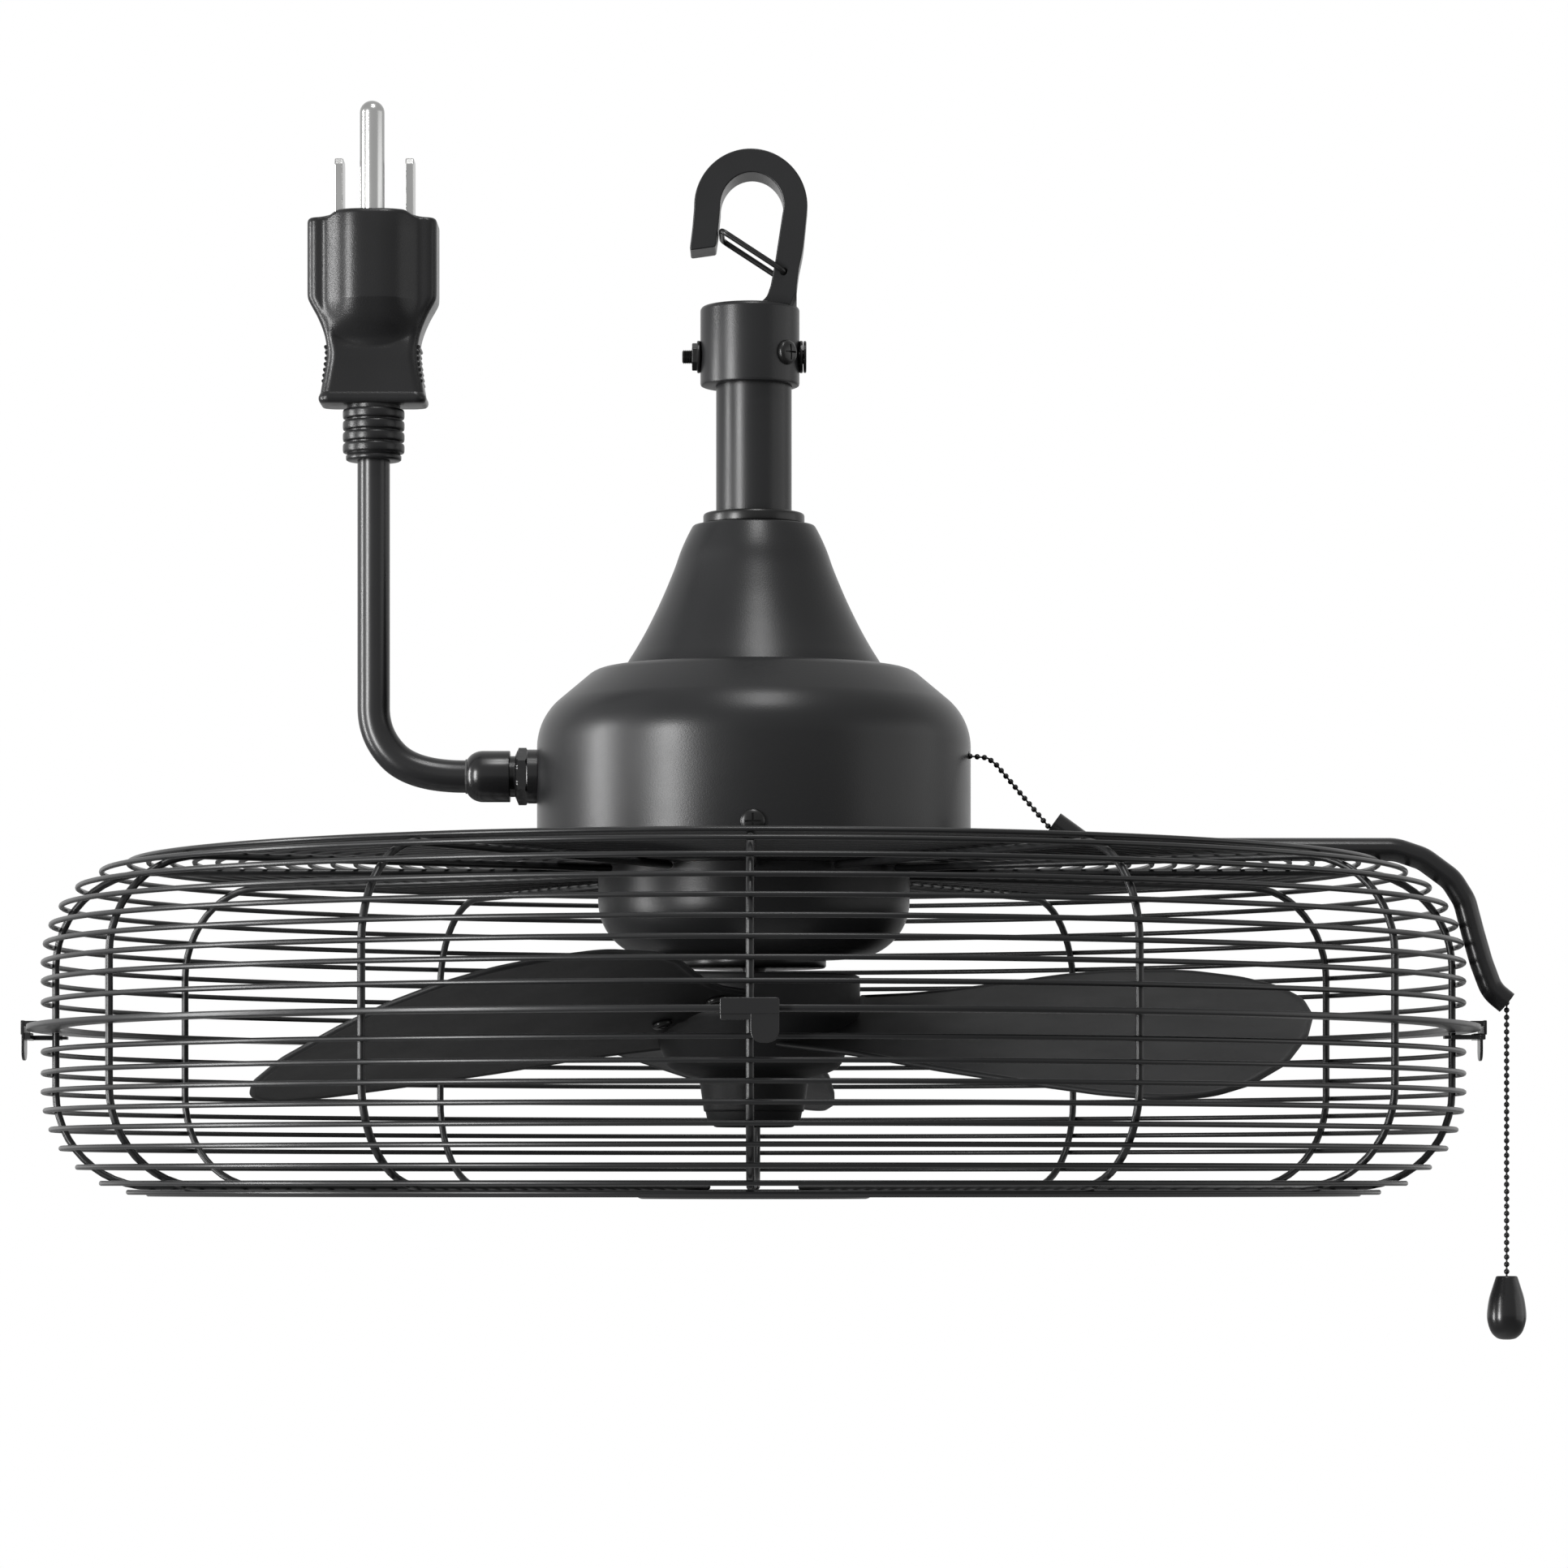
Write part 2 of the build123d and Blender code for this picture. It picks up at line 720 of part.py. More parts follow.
def make_bearings():
    seats = ((bell_bottom_z + bell_wall, lower_bearing_top_z),
             (upper_bearing_bottom_z, bracket_roof_z - bracket_floor_t))
    with BuildPart() as bearings:
        for bottom, top in seats:
            with BuildSketch(Plane.XY.offset(bottom)):
                with Locations((fan_x, 0)):
                    RegularPolygon(bearing_r, coarse, major_radius=False, rotation=180 / coarse)
                    Circle(shaft_r + bore_clearance, mode=Mode.SUBTRACT)
            extrude(amount=top - bottom)
    save(bearings.part, "bearings")


def make_stator_core():
    with BuildPart() as stator_core:
        with BuildSketch(Plane.XY.offset(stator_bottom_z)):
            with Locations((fan_x, 0)):
                RegularPolygon(stator_r, medium)
                RegularPolygon(stator_bore_r, medium, major_radius=False, mode=Mode.SUBTRACT)
        extrude(amount=stator_top_z - stator_bottom_z)
    save(stator_core.part, "stator_core")


# windings above and below the core; the lower ones stand on the floor of the bell
def make_stator_windings():
    coils = ((upper_winding_r, stator_top_z, winding_top_z),
             (lower_winding_r, bell_bottom_z + bell_wall, stator_bottom_z))
    with BuildPart() as stator_windings:
        for radius, bottom, top in coils:
            with BuildSketch(Plane.XY.offset(bottom)):
                with Locations((fan_x, 0)):
                    RegularPolygon(radius, coarse)
                    RegularPolygon(winding_inner_r, coarse, mode=Mode.SUBTRACT)
            extrude(amount=top - bottom)
    save(stator_windings.part, "stator_windings")


def make_rotor_core():
    with BuildPart() as rotor_core:
        with BuildSketch(Plane.XY.offset(stator_bottom_z + rotor_inset)):
            with Locations((fan_x, 0)):
                RegularPolygon(rotor_r, medium)
                Circle(shaft_r, mode=Mode.SUBTRACT)
        extrude(amount=stator_top_z - stator_bottom_z - 2 * rotor_inset)
    save(rotor_core.part, "rotor_core")


def make_motor_shaft():
    motor_shaft = bar(shaft_r, shaft_bottom_z, shaft_top_z)
    save(motor_shaft, "motor_shaft")


# run capacitor and pull switch: both stand on the roof of the bracket
def make_capacitor():
    with BuildPart() as capacitor:
        with BuildSketch(Plane.XY.offset(bracket_roof_z)):
            with Locations((fan_x + capacitor_x, 0)):
                Rectangle(capacitor_length, capacitor_width)
        extrude(amount=capacitor_height)
    save(capacitor.part, "capacitor")


def make_pull_switch():
    with BuildPart() as pull_switch:
        with BuildSketch(Plane.XY.offset(bracket_roof_z)):
            with Locations((fan_x + switch_x, chain_y)):
                Rectangle(switch_length, switch_width)
        extrude(amount=switch_top_z - bracket_roof_z)
    save(pull_switch.part, "pull_switch")


# hub with its three blade pads
def make_hub():
    outer = turning([(hub_bottom_r, hub_bottom_z), (hub_low_r, hub_low_z), (hub_taper_r, hub_taper_z),
                     (hub_r, hub_side_z), (hub_r, hub_top_z)], fine)
    with BuildPart() as pads:
        for index in range(3):
            with BuildSketch(blade_plane(index).offset(blade_t / 2)):
                with Locations(((pad_inner_u + pad_outer_u) / 2, (pad_low_w + pad_high_w) / 2)):
                    Rectangle(pad_outer_u - pad_inner_u, pad_high_w - pad_low_w)
            extrude(amount=pad_t)
    with BuildPart() as hub:
        add(outer)
        add(pads.part)
        with BuildSketch(Plane.XY.offset(hub_top_z)):
            with Locations((fan_x, 0)):
                Circle(shaft_r)
        extrude(amount=shaft_bottom_z - hub_top_z, mode=Mode.SUBTRACT)
        for index in range(3):
            with BuildSketch(blade_plane(index).offset(blade_t / 2)):
                with Locations((blade_screw_u, blade_screw_high_w), (blade_screw_u, blade_screw_low_w)):
                    RegularPolygon(blade_screw_shank_r + fit_gap / 2, 6)
            extrude(amount=pad_t, mode=Mode.SUBTRACT)
    save(hub.part, "hub")
    return hub.part


# blade: a flat plate in its pitched plane, cut to the side of the hub
def make_blade(index, name, hub):
    plane = blade_plane(index)
    with BuildPart() as blade:
        with BuildSketch(plane):
            with BuildLine():
                Polyline((blade_root_inner_u, blade_root_high_w), blade_notch, blade_shoulder_low,
                         blade_shoulder, blade_high_inner, blade_high_mid, blade_high_tip,
                         blade_tip_upper, blade_tip_high, blade_tip_outer, blade_tip, blade_tip_low,
                         blade_low_outer, blade_low_corner, blade_low_turn, blade_low_tip,
                         blade_low_mid, blade_low_inner, blade_low_root, blade_root_low,
                         blade_root_low_inner, close=True)
            make_face()
        extrude(amount=blade_t / 2, both=True)
        add(hub, mode=Mode.SUBTRACT)
        with BuildSketch(plane.offset(-blade_t)):
            with Locations((blade_screw_u, blade_screw_high_w), (blade_screw_u, blade_screw_low_w)):
                RegularPolygon(blade_screw_shank_r + fit_gap / 2, 6)
        extrude(amount=2 * blade_t, mode=Mode.SUBTRACT)
    return blade.part


# the blade's root keeps only the piece outside the hub
def make_blades(hub):
    for index, name in enumerate(("blade_a", "blade_b", "blade_c")):
        blade = make_blade(index, name, hub)
        outside = blade.solids().sort_by(SortBy.VOLUME)[-1]
        save(outside, name)


def make_blade_screws():
    spots = ((blade_screw_u, blade_screw_high_w), (blade_screw_u, blade_screw_low_w))
    heads = [screw_head(blade_plane(index).offset(-blade_t / 2), blade_screw_head_r, blade_screw_dome_r,
                        -blade_screw_head_t, coarse, spot) for index in range(3) for spot in spots]
    with BuildPart() as blade_screws:
        for index in range(3):
            with BuildSketch(blade_plane(index).offset(-blade_t / 2)):
                with Locations(spots):
                    RegularPolygon(blade_screw_shank_r, 6)
            extrude(amount=blade_t + pad_t)
        add(heads)
    save(blade_screws.part, "blade_screws")


def make_spinner():
    spinner = turning([(spinner_bottom_r, spinner_bottom_z), (spinner_step_r, spinner_step_z),
                       (spinner_low_r, spinner_low_z), (spinner_r, spinner_rim_z),
                       (spinner_r, hub_bottom_z)], medium)
    save(spinner, "spinner")


# radius of the side rings at a height above or below the middle of the guard
def side_radius(v):
    if v <= corner_v:
        return side_ring_r
    return corner_r + math.sqrt(ring_bend_r ** 2 - (v - corner_v) ** 2)


# section of one ring of square wire, on its lower face
def ring_section(radius, height, sides):
    with BuildSketch(Plane.XY.offset(height - wire / 2)) as section:
        with Locations((fan_x, 0)):
            RegularPolygon(radius + wire / 2, sides, major_radius=False, rotation=180 / sides)
            RegularPolygon(radius - wire / 2, sides, major_radius=False, rotation=180 / sides,
                           mode=Mode.SUBTRACT)
    return section.sketch


# rings round the side of one half, from the rim to the corner
def make_side_rings(side, name):
    heights = [side_first_v]
    heights += [side_run_v + side_pitch * step for step in range(side_run_count)]
    heights += [corner_upper_v, corner_last_v]
    with BuildPart() as side_rings:
        for v in heights:
            extrude(ring_section(side_radius(v), guard_mid_z + side * v, side_ring_sides), amount=wire)
    save(side_rings.part, name)


# flat rings of the top or bottom grille
def make_grille_rings(side, count, name):
    with BuildPart() as grille_rings:
        for step in range(count):
            radius = grille_outer_r - grille_pitch * step
            sides = outer_ring_sides if radius > fine_ring_r else inner_ring_sides
            extrude(ring_section(radius, guard_mid_z + side * grille_v, sides), amount=wire)
    save(grille_rings.part, name)


# ribs inside the rings: up from the rim, round the corner in straight steps, in along the grille
def make_ribs(side, end_r, name):
    rib_r = corner_r + rib_bend_r
    foot_z = guard_mid_z + side * band_t
    run_z = guard_mid_z + side * rib_run_v
    route = [(rib_r, foot_z), (rib_r, guard_mid_z + side * corner_v)]
    for step in range(1, rib_bend_steps):
        turn = math.pi / 2 * step / rib_bend_steps
        reach = rib_bend_r + rib_bend_outset
        route.append((corner_r + reach * math.cos(turn),
                      guard_mid_z + side * (corner_v + reach * math.sin(turn))))
    route += [(corner_r, run_z), (end_r, run_z)]
    with BuildPart() as one_rib:
        with BuildLine(Plane.XZ):
            Polyline(*route)
        with BuildSketch(Plane.XY.offset(foot_z)):
            with Locations((rib_r, 0)):
                Rectangle(rib, rib)
        sweep(transition=Transition.RIGHT)
    with BuildPart() as ribs:
        with Locations((fan_x, 0, 0)):
            with PolarLocations(0, rib_count):
                add(one_rib.part)
    save(ribs.part, name)


# flat band round the rim of one half
def make_band(side, name):
    with BuildPart() as band:
        with BuildSketch(Plane.XY.offset(guard_mid_z)):
            with Locations((fan_x, 0)):
                RegularPolygon(band_outer_r, band_sides, major_radius=False, rotation=180 / band_sides)
                RegularPolygon(band_inner_r, band_sides, major_radius=False, rotation=180 / band_sides,
                               mode=Mode.SUBTRACT)
        extrude(amount=side * band_t)
    save(band.part, name)


def make_centre_disc():
    with BuildPart() as centre_disc:
        with BuildSketch(Plane.XY.offset(guard_mid_z + disc_bottom_v)):
            with Locations((fan_x, 0)):
                RegularPolygon(disc_r, fine)
        extrude(amount=disc_top_z - guard_mid_z - disc_bottom_v)
    save(centre_disc.part, "guard_centre_disc")


# a block between radii, across widths and heights, of a clip that lies on the x side
def clip_block(inner, outer, low_y, high_y, low_v, high_v):
    with BuildPart() as block:
        with BuildSketch(Plane.XY.offset(guard_mid_z + low_v)):
            with Locations(((inner + outer) / 2, (low_y + high_y) / 2)):
                Rectangle(outer - inner, high_y - low_y)
        extrude(amount=high_v - low_v)
    return block.part


# one clip, seen from outside: the pull tab on the right, the arm under the rim on the left
def make_clips():
    outer = clip_plate_r + clip_t
    foot_v = -band_t - side_gap
    stub_mid_v = (clip_arm_top_v + clip_bottom_v) / 2
    plate = clip_block(clip_plate_r, outer, -clip_half, clip_half, clip_bottom_v, clip_top_v)
    lip = clip_block(clip_lip_r, outer, -clip_half, clip_half, band_t + side_gap, clip_top_v)
    arm = clip_block(clip_arm_r, outer, -clip_half, clip_arm_edge, clip_bottom_v, clip_arm_top_v)
    stub = clip_block(clip_stub_r, clip_arm_r, -clip_half + clip_stub_inset,
                      clip_arm_edge - clip_stub_inset, stub_mid_v - clip_stub_t / 2,
                      stub_mid_v + clip_stub_t / 2)
    foot = clip_block(clip_foot_r, outer, clip_tab_inset, clip_half - clip_tab_inset, clip_bottom_v, foot_v)
    with BuildPart() as clip:
        add((plate, lip, arm, stub, foot))
        with BuildSketch(Plane.YZ.offset(clip_plate_r)) as tab:
            with Locations((clip_half / 2, guard_mid_z + (clip_tab_v + clip_bottom_v) / 2)):
                Rectangle(clip_half, clip_bottom_v - clip_tab_v)
            chamfer(tab.vertices().group_by(Axis.Y)[0], clip_tab_corner)
        extrude(amount=clip_t)
    for name, azimuth in (("clip_right", 0), ("clip_back", 90), ("clip_left", 180), ("clip_front", -90)):
        save(clip.part.moved(Location((fan_x, 0, 0), (0, 0, azimuth))), name)


# a length of the gland along its axis, measured left from the side of the housing
def gland_length(radius, sides, start, length):
    with BuildPart() as turned:
        with BuildSketch(Plane.YZ.offset(fan_x - housing_r - start)):
            with Locations((0, gland_z)):
                RegularPolygon(radius, sides, major_radius=False)
        extrude(amount=-length)
    return turned.part


def make_gland():
    hex_start = gland_flange_t
    neck_start = hex_start + gland_hex_t
    cap_start = neck_start + gland_neck_t
    cap_start_x = fan_x - housing_r - cap_start
    cap_edge_x = cord_exit[0] + gland_cap_edge
    flange = gland_length(gland_flange_r, medium, 0, gland_flange_t)
    neck = gland_length(gland_neck_r, medium, neck_start, gland_neck_t)
    stem = gland_length(gland_stem_r, coarse, 0, -gland_stem_t)
    with BuildPart() as gland_body:
        add((flange, neck, stem))
        with BuildSketch(Plane.YZ.offset(fan_x - housing_r - hex_start)):
            with Locations((0, gland_z)):
                RegularPolygon(gland_hex_r, 6)
        extrude(amount=-gland_hex_t)
    save(gland_body.part, "gland_body")
    with BuildPart() as dome:
        for x, radius in ((cap_start_x, gland_cap_r), (cap_edge_x, gland_cap_r),
                          (cord_exit[0], gland_cap_r - gland_cap_edge / 2)):
            with BuildSketch(Plane.YZ.offset(x)):
                with Locations((0, gland_z)):
                    RegularPolygon(radius, medium)
        loft(ruled=True)
    with BuildPart() as gland_cap:
        add(flat_sided(dome.part))
        with BuildSketch(Plane.YZ.offset(cap_start_x)):
            with Locations((0, gland_z)):
                RegularPolygon(gland_bore_r, coarse, major_radius=False)
        extrude(amount=cord_exit[0] - cap_start_x, mode=Mode.SUBTRACT)
    save(gland_cap.part, "gland_cap")
    with BuildPart() as gland_seal:
        with BuildSketch(Plane.YZ.offset(cap_start_x)):
            with Locations((0, gland_z)):
                RegularPolygon(gland_bore_r - fit_gap, coarse, major_radius=False)
        extrude(amount=cord_exit[0] - cap_start_x)
    save(gland_seal.part, "gland_seal")


# supply cord: out of the gland, up through two bends, straight up to the plug
def make_cord():
    first_run = cord_exit[0] - cord_low[0]
    bend_run = math.dist(cord_low, cord_turn)
    half_turn = math.tan(math.pi / 8)
    low_radius = cord_run_share * min(first_run, bend_run) / half_turn
    high_radius = cord_run_share * bend_run / half_turn
    with BuildPart() as cord:
        with BuildLine(Plane.XZ) as route:
            FilletPolyline(cord_exit, cord_low, cord_turn, cord_top, radius=[low_radius, high_radius])
        with BuildSketch(Plane.YZ.offset(cord_exit[0])):
            with Locations((0, cord_exit[1])):
                RegularPolygon(cord_r, cord_sides, major_radius=False)
        sweep()
    area = cord_sides * cord_r ** 2 * math.tan(math.pi / cord_sides)
    print("cord radii", round(low_radius, 1), round(high_radius, 1))
    print("cord volume over section times length", round(cord.part.volume / area / route.wire().length, 4))
    print("cord length", round(route.wire().length, 1))
    save(cord.part, "cord")


# strain relief of the plug: a core with ribs round it
def make_strain_relief():
    bottom = cord_top[1]
    gap = (relief_height - relief_rib_count * relief_rib_t) / relief_rib_count
    with BuildPart() as strain_relief:
        with BuildSketch(Plane.XY.offset(bottom)):
            with Locations((cord_top[0], 0)):
                RegularPolygon(relief_core_r, coarse)
        extrude(amount=relief_height)
        for step in range(relief_rib_count):
            with BuildSketch(Plane.XY.offset(bottom + step * (relief_rib_t + gap))):
                with Locations((cord_top[0], 0)):
                    RegularPolygon(relief_rib_r, coarse)
            extrude(amount=relief_rib_t)
    save(strain_relief.part, "strain_relief")


# plug body: a narrow waist to grip, wide shoulders, a crest that the pins stand on
def make_plug_body():
    base_z = cord_top[1] + relief_height
    stations = ((plug_base_half, plug_base_depth, base_z),
                (plug_waist_half, plug_waist_depth, plug_waist_z),
                (plug_shoulder_half, plug_shoulder_depth, plug_shoulder_low_z),
                (plug_shoulder_half, plug_shoulder_depth, plug_shoulder_high_z),
                (plug_crest_half, plug_crest_depth, plug_top_z))
    with BuildPart() as plug_body:
        for half, depth, height in stations:
            with BuildSketch(Plane.XY.offset(height)) as outline:
                with Locations((cord_top[0], 0)):
                    block = Rectangle(2 * half, 2 * depth)
                chamfer(block.vertices(), plug_corner)
        loft(ruled=True)
    save(flat_sided(plug_body.part), "plug_body")


def make_pins():
    with BuildPart() as ground_pin:
        for radius, height in ((ground_pin_r, plug_top_z),
                               (ground_pin_r, ground_pin_top_z - ground_pin_r / 2),
                               (ground_pin_r / 2, ground_pin_top_z)):
            with BuildSketch(Plane.XY.offset(height)):
                with Locations((cord_top[0], ground_pin_y)):
                    RegularPolygon(radius, medium)
        loft(ruled=True)
    save(flat_sided(ground_pin.part), "ground_pin")
    with BuildPart() as plug_blades:
        with BuildSketch(Plane.XY.offset(plug_top_z)):
            with Locations((cord_top[0] - prong_x, prong_y), (cord_top[0] + prong_x, prong_y)):
                Rectangle(prong_t, prong_width)
        extrude(amount=prong_top_z - plug_top_z)
    save(plug_blades.part, "plug_blades")


# tube that leads the chain: down to the grille, along it, over the corner, out past the rim
def make_guide_tube():
    with BuildPart() as guide_tube:
        with BuildLine(Plane.XZ.offset(-chain_y)) as route:
            Polyline(tube_inner_end, tube_rest_start, tube_bend_start, tube_bend_high, tube_bend_mid,
                     tube_bend_low, tube_side_high, tube_side_low, tube_turn_low, tube_mouth)
        with BuildSketch(Plane(origin=route.wire() @ 0, x_dir=(0, 1, 0), z_dir=route.wire() % 0)):
            RegularPolygon(tube_r, tube_sides, rotation=180 / tube_sides)
            RegularPolygon(tube_bore_r, tube_sides, rotation=180 / tube_sides, mode=Mode.SUBTRACT)
        sweep(transition=Transition.RIGHT)
    save(guide_tube.part, "guide_tube")


# upper run of the chain: from the switch, out of the housing and through the tube
def make_upper_chain():
    with BuildPart() as upper_chain:
        with BuildLine(Plane.XZ.offset(-chain_y)) as route:
            Polyline((fan_x + switch_x + switch_length / 2, chain_z), chain_exit, chain_bend, chain_drop,
                     tube_inner_end, tube_rest_start, tube_bend_start, tube_bend_high, tube_bend_mid,
                     tube_bend_low, tube_side_high, tube_side_low, tube_turn_low, chain_tube_end)
        with BuildSketch(Plane(origin=route.wire() @ 0, x_dir=(0, 1, 0), z_dir=route.wire() % 0)):
            RegularPolygon(chain_r, 6)
        sweep(transition=Transition.RIGHT)
    save(upper_chain.part, "upper_chain")


# lower run of the chain and the pull at its end
def make_lower_chain():
    with BuildPart() as lower_chain:
        with BuildSketch(Plane.XY.offset(fob_top_z)):
            with Locations((chain_x, chain_y)):
                RegularPolygon(chain_r, 6)
        extrude(amount=chain_top_z - fob_top_z)
    save(lower_chain.part, "lower_chain")
    fob = turning([(fob_bottom_r, fob_bottom_z), (fob_low_r, fob_low_z), (fob_wide_r, fob_wide_z),
                   (fob_mid_r, fob_mid_z), (fob_top_r, fob_top_z)], fob_sides, x=chain_x, y=chain_y)
    save(fob, "fob")


make_hook_collar()
make_wire_gate()
make_collar_bolt()
make_collar_washers()
make_collar_nut()
make_set_screw()
make_down_rod()
make_trim_washer()
make_cone_cover()
make_rod_coupling()
make_coupling_pin()
make_motor_housing()
make_housing_screws()
make_mounting_plate()
make_lower_bell()
make_end_plate()
make_bearing_bracket()
make_bearings()
make_stator_core()
make_stator_windings()
make_rotor_core()
make_motor_shaft()
make_capacitor()
make_pull_switch()
make_blades(make_hub())
make_blade_screws()
make_spinner()
make_side_rings(1, "upper_side_rings")
make_side_rings(-1, "lower_side_rings")
make_grille_rings(1, upper_grille_count, "upper_grille_rings")
make_grille_rings(-1, lower_grille_count, "lower_grille_rings")
make_ribs(1, upper_rib_end_r, "upper_guard_ribs")
make_ribs(-1, lower_rib_end_r, "lower_guard_ribs")
make_band(1, "upper_guard_band")
make_band(-1, "lower_guard_band")
make_centre_disc()
make_clips()
make_gland()
make_cord()
make_strain_relief()
make_plug_body()
make_pins()
make_guide_tube()
make_upper_chain()
make_lower_chain()
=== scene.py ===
import bpy
import bmesh
import math
from mathutils import Matrix, Vector


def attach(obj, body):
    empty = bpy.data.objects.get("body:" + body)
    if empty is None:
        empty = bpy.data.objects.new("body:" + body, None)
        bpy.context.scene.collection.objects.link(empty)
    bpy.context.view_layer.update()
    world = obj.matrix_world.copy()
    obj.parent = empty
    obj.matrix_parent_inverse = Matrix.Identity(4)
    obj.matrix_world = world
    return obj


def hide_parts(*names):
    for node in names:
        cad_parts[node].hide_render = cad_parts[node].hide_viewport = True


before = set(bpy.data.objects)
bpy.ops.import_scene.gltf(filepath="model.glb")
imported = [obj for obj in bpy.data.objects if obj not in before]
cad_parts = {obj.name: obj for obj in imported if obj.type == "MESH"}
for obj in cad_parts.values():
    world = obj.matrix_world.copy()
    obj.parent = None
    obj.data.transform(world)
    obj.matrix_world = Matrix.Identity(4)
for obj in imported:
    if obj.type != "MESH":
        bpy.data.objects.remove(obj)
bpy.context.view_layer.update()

# lengths are in millimetres, unless a comment says metres; MM turns them into metres
MM = 0.001
FAN_X = 1.4
AXIS = Matrix.Translation((FAN_X, 0, 0))
ROOT = "fan_body"

# camera: level, at the height of the bottom of the guard, the frame shifted up
CAMERA_PLACE = (12.03, -2066.0, -344.7)
camera_data = bpy.data.cameras.new("photo_camera")
camera_data.sensor_width = 36
camera_data.lens = 134.29
camera_data.shift_y = 0.2567
camera_data.clip_end = 200
camera = bpy.data.objects.new("photo_camera", camera_data)
camera.location = [length * MM for length in CAMERA_PLACE]
camera.rotation_euler = (math.radians(90), 0, 0)
bpy.context.collection.objects.link(camera)
bpy.context.scene.camera = camera
bpy.context.scene.view_settings.view_transform = "Standard"

# supply cord: its route in the plane y = 0, from the gland up to the plug; its length is in metres
CORD_R = 5.75
GLAND_Z = -199.9
PLUG_X = -132.9
RELIEF_FOOT_Z = -88.5
CORD_ROUTE = [(-100.4, GLAND_Z), (-118.7, GLAND_Z), (PLUG_X, -185.7), (PLUG_X, -165.6),
              (PLUG_X, RELIEF_FOOT_Z)]


# lines and outlines
def rounded(points, radius, steps=6, closed=False):
    """A line through points with its corners rounded; radius is one length or one for each point."""
    points = [Vector(p) for p in points]
    count = len(points)
    line = []
    for index, point in enumerate(points):
        reach = radius[index] if isinstance(radius, (list, tuple)) else radius
        if (not closed and index in (0, count - 1)) or reach <= 0:
            line.append(point)
            continue
        back = points[index - 1] - point
        ahead = points[(index + 1) % count] - point
        half = back.angle(ahead) / 2
        trim = min(reach / math.tan(half), 0.48 * back.length, 0.48 * ahead.length)
        start = point + back.normalized() * trim
        end = point + ahead.normalized() * trim
        for step in range(steps + 1):
            t = step / steps
            line.append(start * (1 - t) ** 2 + point * 2 * t * (1 - t) + end * t ** 2)
    return line


def smooth_line(points, per=8):
    """A Catmull-Rom line through points."""
    points = [Vector(p) for p in points]
    last = len(points) - 1
    line = []
    for index in range(last):
        a, b, c, d = (points[min(max(index + k, 0), last)] for k in (-1, 0, 1, 2))
        for step in range(per):
            t = step / per
            line.append(0.5 * (2 * b + (c - a) * t + (2 * a - 5 * b + 4 * c - d) * t * t
                               + (3 * b - a - 3 * c + d) * t ** 3))
    line.append(points[-1])
    return line


def in_plane(pairs):
    """Pairs of x and z as points of the plane y = 0."""
    return [(x, 0, z) for x, z in pairs]


def pairs_of(points):
    return [(p.x, p.z) for p in points]


def arc(centre_r, centre_z, radius, start, end, steps):
    """Points of an arc in the radius-height plane, angles in degrees from the outward line."""
    turns = [math.radians(start + (end - start) * k / steps) for k in range(steps + 1)]
    return [(centre_r + radius * math.cos(turn), centre_z + radius * math.sin(turn)) for turn in turns]


def half_ellipse(centre, wide, tall, steps):
    turns = [math.pi * k / steps for k in range(steps + 1)]
    return [(centre + wide * math.cos(turn), tall * math.sin(turn)) for turn in turns]


# forms: each is a pair of vertices and faces
def skin(rows):
    """Rows of equally many points joined in turn, with a face over the first and over the last row."""
    count = len(rows[0])
    verts = [point for row in rows for point in row]
    faces = [list(range(count)), [(len(rows) - 1) * count + k for k in range(count)]]
    for low in range(0, (len(rows) - 1) * count, count):
        high = low + count
        for k in range(count):
            n = (k + 1) % count
            faces.append([low + k, low + n, high + n, high + k])
    return verts, faces


def revolve(profile, segments=96, closed=False):
    """A turned form about z from (radius, height) pairs; radius 0 makes a pole."""
    verts, rows, faces = [], [], []
    turns = [2 * math.pi * k / segments for k in range(segments)]
    for radius, height in profile:
        if radius < 1e-6:
            rows.append([len(verts)] * segments)
            verts.append((0, 0, height))
        else:
            rows.append([len(verts) + k for k in range(segments)])
            verts += [(radius * math.cos(turn), radius * math.sin(turn), height) for turn in turns]
    pairs = list(zip(rows, rows[1:])) + ([(rows[-1], rows[0])] if closed else [])
    for low, high in pairs:
        for k in range(segments):
            n = (k + 1) % segments
            corners = [low[k], low[n], high[n], high[k]]
            face = [corner for i, corner in enumerate(corners) if corner != corners[i - 1]]
            if len(face) > 2:
                faces.append(face)
    return verts, faces


def sweep(points, radius, sides=12):
    """A round bar along points; radius is one length or one for each point."""
    points = [Vector(p) for p in points]
    count = len(points)
    radii = radius if isinstance(radius, (list, tuple)) else [radius] * count
    verts, faces = [], []
    normal = None
    for index, point in enumerate(points):
        tangent = points[min(index + 1, count - 1)] - points[max(index - 1, 0)]
        tangent.normalize()
        if normal is None:
            normal = tangent.cross(Vector((0.3, 1, 0.2))).normalized()
        normal = (normal - tangent * normal.dot(tangent)).normalized()
        side = tangent.cross(normal)
        for k in range(sides):
            turn = 2 * math.pi * k / sides
            verts.append(point + (normal * math.cos(turn) + side * math.sin(turn)) * radii[index])
    for low in range(0, (count - 1) * sides, sides):
        high = low + sides
        for k in range(sides):
            n = (k + 1) % sides
            faces.append([low + k, low + n, high + n, high + k])
    faces.append(list(range(sides)))
    faces.append([(count - 1) * sides + k for k in range(sides)])
    return verts, faces


